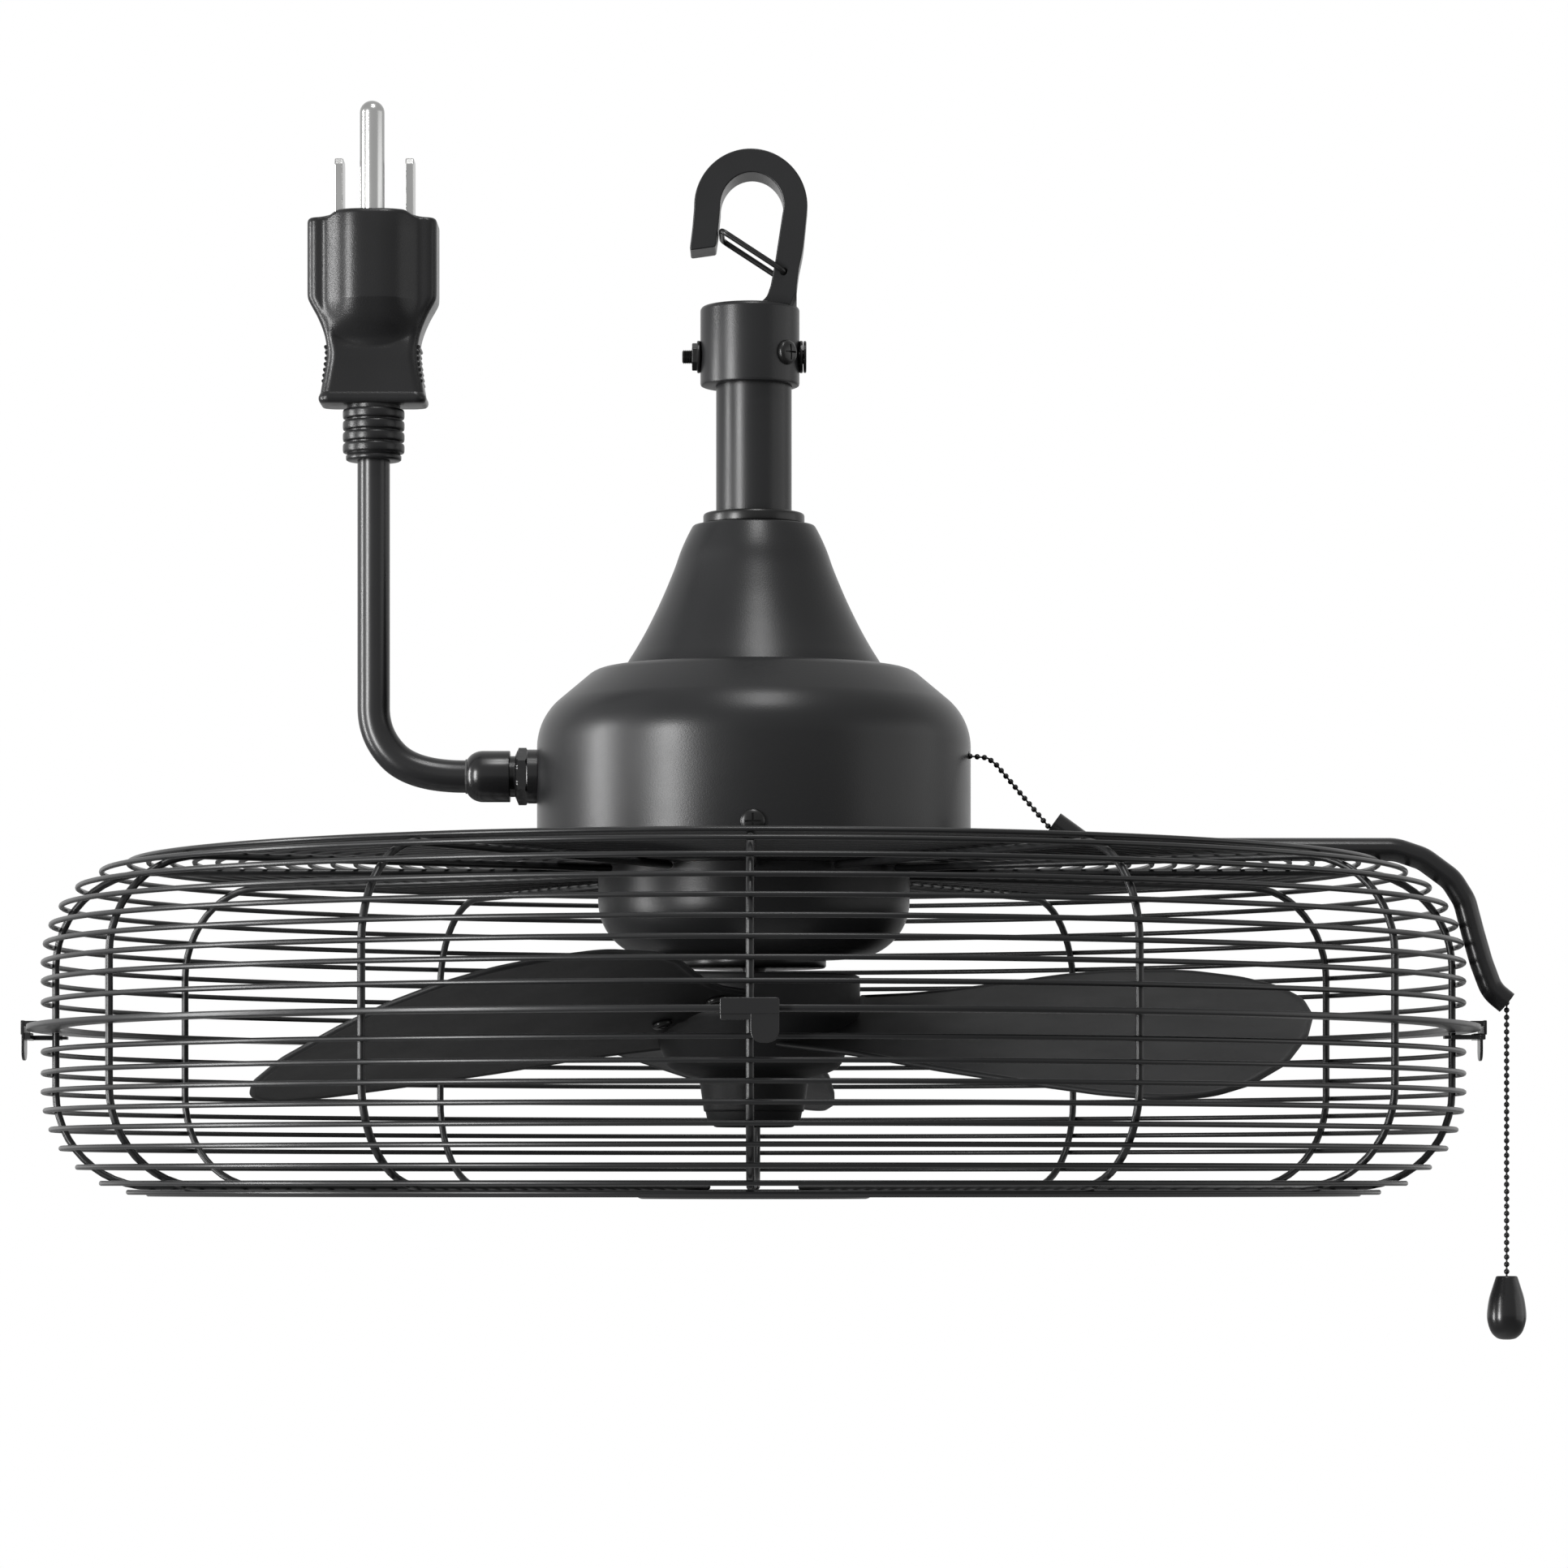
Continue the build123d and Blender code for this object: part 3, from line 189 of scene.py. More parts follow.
def tube(points, outer, inner, sides):
    """An outer and an inner skin along points, joined by rings at both mouths."""
    verts, faces_out = sweep(points, outer, sides)
    lining, faces_in = sweep(points, inner, sides)
    total = len(verts)
    faces = faces_out[:-2] + [[total + i for i in face] for face in faces_in[:-2]]
    for start in (0, (len(points) - 1) * sides):
        for k in range(sides):
            n = (k + 1) % sides
            faces.append([start + k, start + n, total + start + n, total + start + k])
    return verts + lining, faces


def wire_ring(radius, height, wire_r, segments, sides=10):
    """A closed ring of round wire about the z axis."""
    turns = [2 * math.pi * k / sides for k in range(sides)]
    section = [(radius + wire_r * math.cos(turn), height + wire_r * math.sin(turn)) for turn in turns]
    return revolve(section, segments, closed=True)


def cylinder(radius, start, end, segments=40):
    return revolve([(0, start), (radius, start), (radius, end), (0, end)], segments)


def prism(outline, start, length):
    """An outline in x and y, raised along z."""
    return skin([[(x, y, start) for x, y in outline], [(x, y, start + length) for x, y in outline]])


def box(low, high):
    x, y, z = zip(low, high)
    verts = [(x[i], y[j], z[k]) for i in (0, 1) for j in (0, 1) for k in (0, 1)]
    return verts, [[0, 1, 3, 2], [4, 6, 7, 5], [0, 4, 5, 1], [2, 3, 7, 6], [0, 2, 6, 4], [1, 5, 7, 3]]


# placings
STANDING = Matrix(((1, 0, 0, 0), (0, 0, 1, 0), (0, 1, 0, 0), (0, 0, 0, 1)))
FACING = Matrix(((0, 0, 1, 0), (1, 0, 0, 0), (0, 1, 0, 0), (0, 0, 0, 1)))


def along(point, direction):
    """The placing of a form made about z so that it stands at a point along a direction."""
    turn = Vector((0, 0, 1)).rotation_difference(Vector(direction)).to_matrix().to_4x4()
    return Matrix.Translation(point) @ turn


def turned(degrees, axis="Z"):
    return Matrix.Rotation(math.radians(degrees), 4, axis)


# pieces: every new one rides on its body and stands for its CAD nodes
class Shape:
    """Vertices in millimetres and faces, gathered from several forms."""

    def __init__(self):
        self.verts = []
        self.faces = []

    def add(self, form, matrix=Matrix.Identity(4)):
        verts, faces = form
        base = len(self.verts)
        self.verts += [matrix @ Vector(v) for v in verts]
        self.faces += [[base + i for i in face] for face in faces]
        return self

    def mesh(self, name):
        data = bpy.data.meshes.new(name)
        data.from_pydata([tuple(v * MM) for v in self.verts], [], self.faces)
        data.update()
        work = bmesh.new()
        work.from_mesh(data)
        bmesh.ops.recalc_face_normals(work, faces=work.faces)
        work.to_mesh(data)
        work.free()
        return data


def plain_object(name, shape):
    obj = bpy.data.objects.new(name, shape.mesh(name))
    bpy.context.collection.objects.link(obj)
    return obj


def dress(obj, body, material, nodes=()):
    obj.data.materials.clear()
    obj.data.materials.append(material)
    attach(obj, body)
    if nodes:
        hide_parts(*nodes)
    return obj


def add_bevel(obj, width, steps=3):
    """Rounds the edges of a piece by a width in millimetres."""
    bevel = obj.modifiers.new("edges", "BEVEL")
    bevel.width = width * MM
    bevel.segments = steps
    bevel.limit_method = "ANGLE"
    bevel.angle_limit = math.radians(32)
    bevel.harden_normals = True


def piece(name, shape, body, material, nodes=(), sharp=35, bevel=0.0):
    """A mesh piece: its edges are rounded by the bevel or stay sharp above an angle in degrees."""
    obj = plain_object(name, shape)
    obj.data.shade_smooth()
    if bevel:
        add_bevel(obj, bevel)
    else:
        obj.data.set_sharp_from_angle(angle=math.radians(sharp))
    return dress(obj, body, material, nodes)


def turned_piece(name, profile, segments, material, node, sharp=35, body=ROOT, closed=True, place=AXIS):
    """A piece turned about the fan's axis, or about the z axis of another place."""
    shape = Shape().add(revolve(profile, segments, closed), place)
    return piece(name, shape, body, material, (node,), sharp)


def cut(obj, cutters):
    """Cuts one mesh out of a piece before it is dressed."""
    tool = plain_object("cutter", cutters)
    step = obj.modifiers.new("cut", "BOOLEAN")
    step.operation = "DIFFERENCE"
    step.solver = "EXACT"
    step.object = tool
    bpy.context.view_layer.update()
    done = bpy.data.meshes.new_from_object(obj.evaluated_get(bpy.context.evaluated_depsgraph_get()))
    obj.modifiers.clear()
    obj.data = done
    bpy.data.objects.remove(tool)
    done.shade_smooth()
    done.set_sharp_from_angle(angle=math.radians(35))


def screw_object(name, placings, head_r, top, arm, width, depth):
    """Domed heads at their places, each with a cross recess cut in."""
    rim = top * 0.35
    dome_r = head_r * 0.985
    profile = [(0, -0.4), (head_r * 0.7, -0.4), (head_r * 0.98, 0), (head_r, rim * 0.6), (dome_r, rim)]
    for k in range(1, 9):
        turn = math.radians(90 * k / 8)
        profile.append((dome_r * math.cos(turn) ** 0.75 if k < 8 else 0, rim + (top - rim) * math.sin(turn)))
    a, b = arm, width
    cross = [(a, -b), (a, b), (b, b), (b, a), (-b, a), (-b, b), (-a, b), (-a, -b), (-b, -b), (-b, -a),
             (b, -a), (b, -b)]
    heads, recess = Shape(), Shape()
    for placing in placings:
        heads.add(revolve(profile, 48), placing)
        recess.add(prism(cross, top - depth, depth + 1), placing)
    obj = plain_object(name, heads)
    cut(obj, recess)
    return obj


# materials: fine grain in the bump, slow changes of tone and gloss; grain, depth and patch in millimetres
TONE_PATCH = 30.0
FINE_DETAIL = 2.5
SLOW_DETAIL = 4.0
GLOSS_SWING = 0.08


def fine_grain(nodes, links, place, grain, depth, strength, stretch):
    """The bump of a surface: small even grain, drawn out along an axis where stretch says so."""
    mapping = nodes.new("ShaderNodeMapping")
    mapping.inputs["Scale"].default_value = stretch
    links.new(place.outputs["Object"], mapping.inputs["Vector"])
    fine = nodes.new("ShaderNodeTexNoise")
    fine.inputs["Scale"].default_value = 1000 / grain
    fine.inputs["Detail"].default_value = FINE_DETAIL
    links.new(mapping.outputs["Vector"], fine.inputs["Vector"])
    bump = nodes.new("ShaderNodeBump")
    bump.inputs["Distance"].default_value = depth * MM
    bump.inputs["Strength"].default_value = strength
    links.new(fine.outputs["Fac"], bump.inputs["Height"])
    return bump


def slow_tone(nodes, links, slow, colour, spread):
    tone = nodes.new("ShaderNodeMix")
    tone.data_type = "RGBA"
    tone.inputs["A"].default_value = [c * (1 - spread) for c in colour] + [1]
    tone.inputs["B"].default_value = [c * (1 + spread) for c in colour] + [1]
    links.new(slow.outputs["Fac"], tone.inputs["Factor"])
    return tone


def slow_gloss(nodes, links, slow, roughness):
    gloss = nodes.new("ShaderNodeMapRange")
    gloss.inputs["From Min"].default_value = 0.3
    gloss.inputs["From Max"].default_value = 0.7
    gloss.inputs["To Min"].default_value = roughness * (1 - GLOSS_SWING)
    gloss.inputs["To Max"].default_value = roughness * (1 + GLOSS_SWING)
    links.new(slow.outputs["Fac"], gloss.inputs["Value"])
    return gloss


def coat(name, colour, roughness, level=0.5, grain=0.9, depth=0.04, strength=0.5, spread=0.12, metal=0.0,
         stretch=(1, 1, 1)):
    """A painted, moulded or plated surface."""
    material = bpy.data.materials.new(name)
    material.use_nodes = True
    nodes, links = material.node_tree.nodes, material.node_tree.links
    shader = nodes["Principled BSDF"]
    shader.distribution = "GGX"
    shader.inputs["Metallic"].default_value = metal
    shader.inputs["Specular IOR Level"].default_value = level
    place = nodes.new("ShaderNodeTexCoord")
    bump = fine_grain(nodes, links, place, grain, depth, strength, stretch)
    links.new(bump.outputs["Normal"], shader.inputs["Normal"])
    slow = nodes.new("ShaderNodeTexNoise")
    slow.inputs["Scale"].default_value = 1000 / TONE_PATCH
    slow.inputs["Detail"].default_value = SLOW_DETAIL
    links.new(place.outputs["Object"], slow.inputs["Vector"])
    tone = slow_tone(nodes, links, slow, colour, spread)
    links.new(tone.outputs["Result"], shader.inputs["Base Color"])
    gloss = slow_gloss(nodes, links, slow, roughness)
    links.new(gloss.outputs["Result"], shader.inputs["Roughness"])
    return material


def grey(value, blue=0.0):
    """A neutral colour with a little blue added or taken away."""
    return (value, value, value + blue)


POWDER = coat("powder_coat", (0.0062, 0.0063, 0.0066), 0.33, level=0.16, grain=0.5, depth=0.05, strength=0.55)
WIRE = coat("wire_coat", (0.0052, 0.0053, 0.0055), 0.33, level=0.18, grain=0.5, depth=0.02, strength=0.4)
BLADE = coat("blade_coat", (0.0042, 0.0043, 0.0045), 0.52, level=0.115, grain=0.5, depth=0.05, strength=0.4)
DARK = coat("black_steel", grey(0.0038), 0.30, level=0.18, grain=0.5, depth=0.02, strength=0.3)
PLASTIC = coat("moulded_plastic", grey(0.0048, 0.0002), 0.30, level=0.165, grain=0.45, depth=0.08,
               strength=0.7)
SMOOTH = coat("smooth_plastic", grey(0.005, 0.0002), 0.24, level=0.21, grain=0.5, depth=0.01, strength=0.2)
JACKET = coat("cord_jacket", grey(0.0065, 0.0003), 0.28, level=0.2, grain=0.5, depth=0.02, strength=0.4)
NICKEL = coat("nickel_plate", grey(0.31, -0.004), 0.22, grain=0.35, depth=0.01, strength=0.15, spread=0.05,
              metal=1.0, stretch=(1, 1, 0.1))
STEEL = coat("bare_steel", grey(0.42), 0.35, grain=0.5, depth=0.01, metal=1.0)
COPPER = coat("winding_wire", (0.45, 0.17, 0.06), 0.35, grain=1.4, depth=0.2, strength=0.8, metal=1.0)
CREAM = coat("capacitor_case", (0.62, 0.60, 0.54), 0.5)
SEAL = coat("seal_rubber", grey(0.015), 0.6)

# CAD nodes that stay as they are, with their materials
KEPT_NODES = (("rod_coupling", STEEL), ("coupling_pin", STEEL), ("motor_shaft", DARK),
              ("bearing_bracket", STEEL), ("bearings", STEEL), ("stator_core", STEEL), ("rotor_core", STEEL),
              ("stator_windings", COPPER), ("capacitor", CREAM), ("pull_switch", PLASTIC),
              ("gland_seal", SEAL))
for node, material in KEPT_NODES:
    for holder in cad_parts[node].material_slots:
        holder.material = material


# supply cord
def make_cord():
    curve = bpy.data.curves.new("supply_cord", "CURVE")
    curve.dimensions = "3D"
    spline = curve.splines.new("NURBS")
    spline.points.add(len(CORD_ROUTE) - 1)
    for point, (x, z) in zip(spline.points, CORD_ROUTE):
        point.co = (x * MM, 0, z * MM, 1)
    spline.order_u = 3
    spline.use_endpoint_u = True
    spline.resolution_u = 24
    curve.bevel_depth = CORD_R * MM
    curve.bevel_resolution = 8
    curve.use_fill_caps = True
    cord = bpy.data.objects.new("supply_cord", curve)
    bpy.context.collection.objects.link(cord)
    return dress(cord, ROOT, JACKET, ("cord",))


# plug moulding: wings at the sides, a swell in front and behind, a waist with grip ribs, a crest on top
PLUG_PLACE = Matrix.Translation((PLUG_X, 0, 0))
WING_HALF = 22.8
WING_DEPTH = 11.0
WING_CORNER = 3.6
SWELL_HALF = 17.6
SWELL_DEPTH = 7.0
SWELL_BEND = -33.0
SWELL_FOOT = -49.2
FOOT_BOW = 3.7
SCOOP_DEPTH = 1.6
SCOOP_Z = -46.0
SCOOP_REACH = 3.6
CREST_LOW = -3.9
CREST_RISE = 2.1
CREST_HALF = 17.2
CREST_SLOPE = 5.7
WAIST_HALF = 16.2
WAIST_Z = -51.7
# half width, half depth and height of each level
PLUG_FOOT = [(17.2, 8.8, -69.1), (18.2, 9.8, -68.9), (18.7, 10.3, -68.4), (18.95, 10.55, -67.6),
             (18.9, 10.55, -66.8), (18.3, 10.2, -65.4)]
PLUG_GRIP = [(18.3, 10.2, -65.6), (17.8, 10.0, -62.6), (17.0, 9.9, -58.4), (16.4, 9.9, -54.8),
             (16.1, 10.0, WAIST_Z), (16.2, 10.1, -48.6), (16.8, 10.3, -45.2), (18.0, 10.5, -41.6),
             (19.8, 10.8, -37.6), (21.6, 10.95, -34.4), (22.6, WING_DEPTH, -32.2),
             (WING_HALF, WING_DEPTH, -30.0)]
PLUG_SIDES = [(WING_HALF, WING_DEPTH, -20.0), (WING_HALF, WING_DEPTH, -10.0)]
# inset and height of each level of the rounded top edge
PLUG_EDGE = ((0, -5.7), (0.1, -5.0), (0.4, -4.4), (0.9, -4.0), (1.5, CREST_LOW))


def plug_swell(x, z):
    """How far the round middle stands out: it flows into the wings and slopes off at its lower end."""
    across = min(abs(x) / SWELL_HALF, 1)
    foot = SWELL_FOOT + FOOT_BOW * (x / 13.0) ** 2
    below = min(max((SWELL_BEND - z) / (SWELL_BEND - foot), 0), 1)
    slope = 1 - below + 0.06 * math.sin(math.pi * below)
    scoop = SCOOP_DEPTH * math.exp(-((z - SCOOP_Z) / SCOOP_REACH) ** 2)
    return (SWELL_DEPTH * slope - scoop) * (1 - across ** 3.4) ** 2


def plug_crest(x):
    """The top of the plug is higher in its middle than on its wings."""
    lift = min(max((CREST_HALF - abs(x)) / CREST_SLOPE, 0), 1)
    return CREST_RISE * lift * lift * (3 - 2 * lift)


def plug_section(half, depth, height, inset=0.0, crest=False):
    """One level of the plug: rounded wings at the sides and a swell in front and behind."""
    steps = 80
    line = []
    for k in range(steps + 1):
        x = half * math.cos(math.pi * k / steps)
        past = max(abs(x) - (half - WING_CORNER), 0)
        y = depth - WING_CORNER + math.sqrt(max(WING_CORNER ** 2 - past ** 2, 0)) + plug_swell(x, height)
        line.append((x, y))
    line += [(-x, -y) for x, y in line]
    wide, deep = 1 - inset / half, 1 - inset / (depth + SWELL_DEPTH)
    return [(x * wide, y * deep, height + (plug_crest(x) if crest else 0)) for x, y in line]


def plug_form():
    """A skin through all levels; the top level is drawn in to its middle."""
    levels = PLUG_FOOT + smooth_line(PLUG_GRIP, 8)[1:] + PLUG_SIDES
    rows = [plug_section(*level) for level in levels]
    rows += [plug_section(WING_HALF, WING_DEPTH, height, inset, crest=True) for inset, height in PLUG_EDGE]
    top = rows[-1]
    for share in (0.8, 0.6, 0.4, 0.2, 0.05):
        rows.append([(x * share, y * share, CREST_LOW + plug_crest(x * share)) for x, y, z in top])
    return skin(rows)


def make_plug_moulding():
    """The body with seven grip ribs on each side of its waist."""
    plug = Shape().add(plug_form(), PLUG_PLACE)
    rib_low_z, rib_pitch, rib_reach = -61.2, 2.0, 7.6
    for step in range(7):
        height = rib_low_z + rib_pitch * step
        out = WAIST_HALF + 0.5 * abs(height - WAIST_Z) / 4 - 0.2
        for side in (-1, 1):
            x = PLUG_X + side * out
            plug.add(sweep([(x, -rib_reach, height), (x, rib_reach, height)], 0.68, 10))
    return piece("plug_moulding", plug, ROOT, PLASTIC, ("plug_body",), sharp=50)


def make_strain_relief():
    """A sleeve with a foot bead and four rounded rings."""
    core_r, ring_r, ring_height, top_z = 9.4, 10.9, 3.4, -68.8
    foot = RELIEF_FOOT_Z
    relief = [(CORD_R, foot), (9.2, foot), (9.7, foot + 0.3), (9.8, foot + 0.8), (9.8, foot + 1.7),
              (core_r, foot + 2)]
    for k in range(4):
        low = -85.8 + 4.0 * k
        high = low + ring_height
        relief += [(core_r, low), (ring_r - 0.6, low), (ring_r - 0.2, low + 0.2), (ring_r - 0.05, low + 0.6),
                   (ring_r, low + 1.2), (ring_r, high - 1.0), (ring_r - 0.1, high - 0.5),
                   (ring_r - 0.3, high - 0.2), (ring_r - 0.7, high), (core_r, high)]
    relief += [(core_r, top_z), (CORD_R, top_z)]
    return turned_piece("strain_relief_rings", relief, 72, PLASTIC, "strain_relief", 60,
                        place=PLUG_PLACE)


# plug pins: their feet are inside the moulding
PIN_FOOT_Z = -6.0


def make_ground_pin():
    pin_r, shoulder_z, dome, y = 4.35, 33.2, 4.2, -7.4
    profile = [(0, PIN_FOOT_Z), (pin_r, PIN_FOOT_Z), (pin_r, shoulder_z)]
    for angle in range(10, 90, 10):
        turn = math.radians(angle)
        profile.append((pin_r * math.cos(turn), shoulder_z + dome * math.sin(turn)))
    profile.append((0, shoulder_z + dome))
    return turned_piece("ground_pin_round", profile, 48, NICKEL, "ground_pin", closed=False,
                        place=Matrix.Translation((PLUG_X, y, 0)))


def make_flat_pins():
    apart, y, half, tip_half, shoulder_z, top_z, thickness = 25.0, 7.6, 5.8, 4.4, 17.0, 19.1, 3.0
    outline = [(y - half, PIN_FOOT_Z), (y + half, PIN_FOOT_Z), (y + half, shoulder_z), (y + tip_half, top_z),
               (y - tip_half, top_z), (y - half, shoulder_z)]
    pins = Shape()
    for side in (-1, 1):
        x = PLUG_X + side * apart / 2
        pins.add(prism(outline, 0, thickness), Matrix.Translation((x - thickness / 2, 0, 0)) @ FACING)
    return piece("flat_pins", pins, ROOT, NICKEL, ("plug_blades",), bevel=0.45)


supply_cord = make_cord()
plug_moulding = make_plug_moulding()
relief_piece = make_strain_relief()
ground_pin = make_ground_pin()
flat_pins = make_flat_pins()

# hook and collar: the pivot of the gate, the cross bolt and the seat of the down rod
PIVOT_X = 12.0
PIVOT_Z = -23.1
BOLT_Z = -51.7
ROD_SEAT_Z = -40.7
TO_LEFT = along((0, 0, BOLT_Z), (-1, 0, 0))
TO_RIGHT = along((0, 0, BOLT_Z), (1, 0, 0))


def hook_outline():
    """A bow whose nose leans outwards on the left and whose shank stands in the collar on the right."""
    outside = half_ellipse(0.35, 19.95, 20.3, 48)
    inside = half_ellipse(0.75, 11.15, 11.9, 40)
    shank_out = rounded(in_plane([(16.5, -37.4), (16.5, -28.6), (17.3, -21.9), (18.8, -15.0), (20.25, -0.6)]),
                        [0, 12, 20, 60, 0], 8)
    nose = rounded(in_plane([(-19.6, -0.6), (-20.2, -7.6), (-21.2, -15.6), (-12.0, -14.3), (-11.0, -7.0),
                             (-10.4, -0.6)]), [0, 30, 1.0, 1.0, 30, 0], 6)
    shank_in = rounded(in_plane([(11.85, -0.6), (11.3, -3.8), (8.9, -19.6), (7.3, -28.0), (6.0, -31.8),
                                 (3.4, -34.1), (3.4, -37.4)]), [0, 20, 50, 10, 5, 1, 0], 8)
    return pairs_of(shank_out) + outside + pairs_of(nose) + inside[::-1] + pairs_of(shank_in)


def make_hook():
    """The flat bow with the bore of the gate, its foot turned down to the collar's round."""
    plate_half = 9.9
    hook = plain_object("hook_bow", Shape().add(prism(hook_outline(), -plate_half, 2 * plate_half), STANDING))
    cut(hook, Shape().add(cylinder(1.03, -12, 12), along((PIVOT_X, 0, PIVOT_Z), (0, 1, 0))))
    foot_ring = [(17.2, -38.5), (17.2, -35.6), (18.2, -32.4), (19.6, -29.4), (27, -29.4), (27, -38.5)]
    cut(hook, Shape().add(revolve(foot_ring, 60, True)))
    add_bevel(hook, 0.5, 4)
    hook.modifiers["edges"].use_clamp_overlap = False
    dress(hook, ROOT, POWDER, ("hook_collar",))


def make_collar():
    """The ring under the hook, with the bores for the rod and the bolt."""
    radius, foot_z, top_z, edge = 17.5, -62.1, -34.1, 1.6
    profile = [(0, foot_z), (16.8, foot_z), (17.25, foot_z + 0.2), (17.45, foot_z + 0.6),
               (radius, foot_z + 1.1)]
    profile += arc(radius - edge, top_z - edge, edge, 0, 90, 10) + [(0, top_z)]
    collar = plain_object("collar_ring", Shape().add(revolve(profile, 128)))
    cut(collar, Shape().add(cylinder(13.5, -64, ROD_SEAT_Z, 96), AXIS))
    cut(collar, Shape().add(cylinder(2.6, -20, 20), TO_RIGHT))
    collar.data.set_sharp_from_angle(angle=math.radians(35))
    dress(collar, ROOT, POWDER, ("hook_collar",))


def make_gate():
    """One bent wire: both ends in the pivot bore, the loop resting against the nose."""
    half, tip_x, tip_z = 11.2, -9.9, -8.8
    line = rounded([(PIVOT_X, -0.6, PIVOT_Z), (PIVOT_X, -half, PIVOT_Z), (tip_x, -half, tip_z),
                    (tip_x, half, tip_z), (PIVOT_X, half, PIVOT_Z), (PIVOT_X, 0.6, PIVOT_Z)], 2.6, 8)
    wire = Shape().add(sweep(line, 1.0, 14))
    piece("gate_loop", wire, "gate", DARK, ("wire_gate",), sharp=60)


def make_bolt():
    """A stud whose thread shows on the left, and its head on the right."""
    thread_start, half_pitch, half_turns = 15.6, 0.27, 30
    thread = [(2.5 if k % 2 else 2.12, thread_start + k * half_pitch) for k in range(half_turns + 1)]
    stud = [(0, -16.0), (2.45, -16.0), (2.45, 15.5)] + thread + [(1.9, 23.9), (0, 23.9)]
    head = [(0, 17.0), (2.4, 17.0), (2.4, 18.8), (5.1, 18.9), (5.5, 19.0), (5.6, 19.2), (5.6, 19.6),
            (5.45, 19.85), (5.0, 19.95), (0, 19.95)]
    bolt = Shape().add(revolve(stud, 40), TO_LEFT).add(revolve(head, 48), TO_RIGHT)
    piece("through_bolt", bolt, ROOT, DARK, ("collar_bolt",), sharp=40)


def make_washers():
    washer = [(2.7, 17.5), (5.4, 17.5), (5.65, 17.7), (5.7, 18.0), (5.65, 18.5), (5.3, 18.7), (2.7, 18.7)]
    pair = Shape().add(revolve(washer, 48, True), TO_LEFT).add(revolve(washer, 48, True), TO_RIGHT)
    piece("bolt_washers", pair, ROOT, DARK, ("collar_washers",), sharp=50)


def make_nut():
    corner_r, start, height = 4.95, 18.45, 2.0
    turns = [math.radians(60 * k) for k in range(6)]
    outline = [(corner_r * math.cos(turn), corner_r * math.sin(turn)) for turn in turns]
    piece("bolt_nut", Shape().add(prism(outline, start, height), TO_LEFT), ROOT, DARK,
          ("collar_nut",), bevel=0.35)


def make_set_screw():
    """A screw in the collar, 42 degrees to the front of its right side."""
    turn = math.radians(-42)
    out = (math.cos(turn), math.sin(turn), 0)
    place = along((17.3 * out[0], 17.3 * out[1], BOLT_Z), out)
    place = place @ Matrix.Rotation(turn + math.radians(4), 4, "Z")
    dress(screw_object("set_screw_head", [place], 4.35, 2.4, 2.7, 0.3, 1.6), ROOT, DARK,
          ("set_screw",))


# down rod, trim ring and cone
def make_rod():
    outer, inner, foot_z = 13.35, 11.35, -154.9
    rod = [(inner, foot_z), (outer, foot_z), (outer, ROD_SEAT_Z), (inner, ROD_SEAT_Z)]
    turned_piece("down_rod_tube", rod, 128, POWDER, "down_rod")


def make_trim_ring():
    trim = [(13.45, -111.3), (17.4, -111.3), (17.8, -111.0), (17.9, -110.4), (17.9, -108.1), (17.7, -107.5),
            (17.2, -107.15), (16.6, -107.1), (13.45, -107.1)]
    turned_piece("trim_ring", trim, 96, DARK, "trim_washer", 45)


def make_cone():
    """A flared shell; its inner face follows the outer one between the neck and the foot."""
    neck_z, foot_z = -113, -160
    flare = smooth_line(in_plane([(21.3, -111.45), (22.0, -112.3), (23.9, -116.0), (25.9, -120.6),
                                  (27.9, -126.3), (30.2, -132.0), (32.7, -137.8), (35.4, -143.5),
                                  (38.3, -149.2), (41.6, -155.0), (44.1, -159.0), (45.9, -162.2)]), 6)
    cone = [(13.5, -111.45)] + pairs_of(flare) + [(44.1, -162.3)]
    cone += [(p.x - 1.7, p.z - 1.6) for p in reversed(flare) if foot_z < p.z < neck_z] + [(13.5, -113.2)]
    turned_piece("cone_shell", cone, 128, POWDER, "cone_cover", 50)


# motor housing and what is under it
HOUSING_R = 76.55
CHAIN_Y = -12.0


def make_housing():
    """A shell with a rounded shoulder, bored for the gland and for the pull chain."""
    shoulder, shoulder_z, foot_z = 22.0, -190.0, -230.05
    housing = [(46.0, -162.35), (53.4, -162.35), (54.6, -162.5), (55.8, -162.9), (57.0, -163.5),
               (58.1, -164.25)]
    housing += arc(HOUSING_R - shoulder, shoulder_z, shoulder, 49, 0, 24)
    housing += [(HOUSING_R, foot_z + 0.35), (76.3, foot_z), (74.6, foot_z), (74.6, shoulder_z),
                (66.6, -175.4), (54.4, -164.4), (46.0, -164.2)]
    shell = plain_object("housing_shell", Shape().add(revolve(housing, 160, True), AXIS))
    holes = Shape().add(cylinder(1.4, 0, 20, 32), along((66, CHAIN_Y, -193.2), (1, 0, 0)))
    holes.add(cylinder(6.2, 0, 20, 48), along((-60, 0, GLAND_Z), (-1, 0, 0)))
    cut(shell, holes)
    dress(shell, ROOT, POWDER, ("motor_housing",))


def make_housing_screws():
    spots = []
    for azimuth in (-90, 30, 150):
        turn = math.radians(azimuth)
        out = (math.cos(turn), math.sin(turn), 0)
        seat = HOUSING_R - 0.2
        spots.append(along((FAN_X + seat * out[0], seat * out[1], -220.5), out))
    dress(screw_object("housing_screw_heads", spots, 4.35, 2.0, 2.8, 0.3, 1.4), ROOT, DARK,
          ("housing_screws",))


def make_carrier_plate():
    low_z, top_z, inner = -232.5, -230.12, 53.6
    plate = [(inner, low_z), (78.3, low_z), (78.9, -232.1), (79.0, -231.3), (78.9, -230.5), (78.3, top_z),
             (inner, top_z)]
    turned_piece("carrier_plate", plate, 128, POWDER, "mounting_plate", 50)


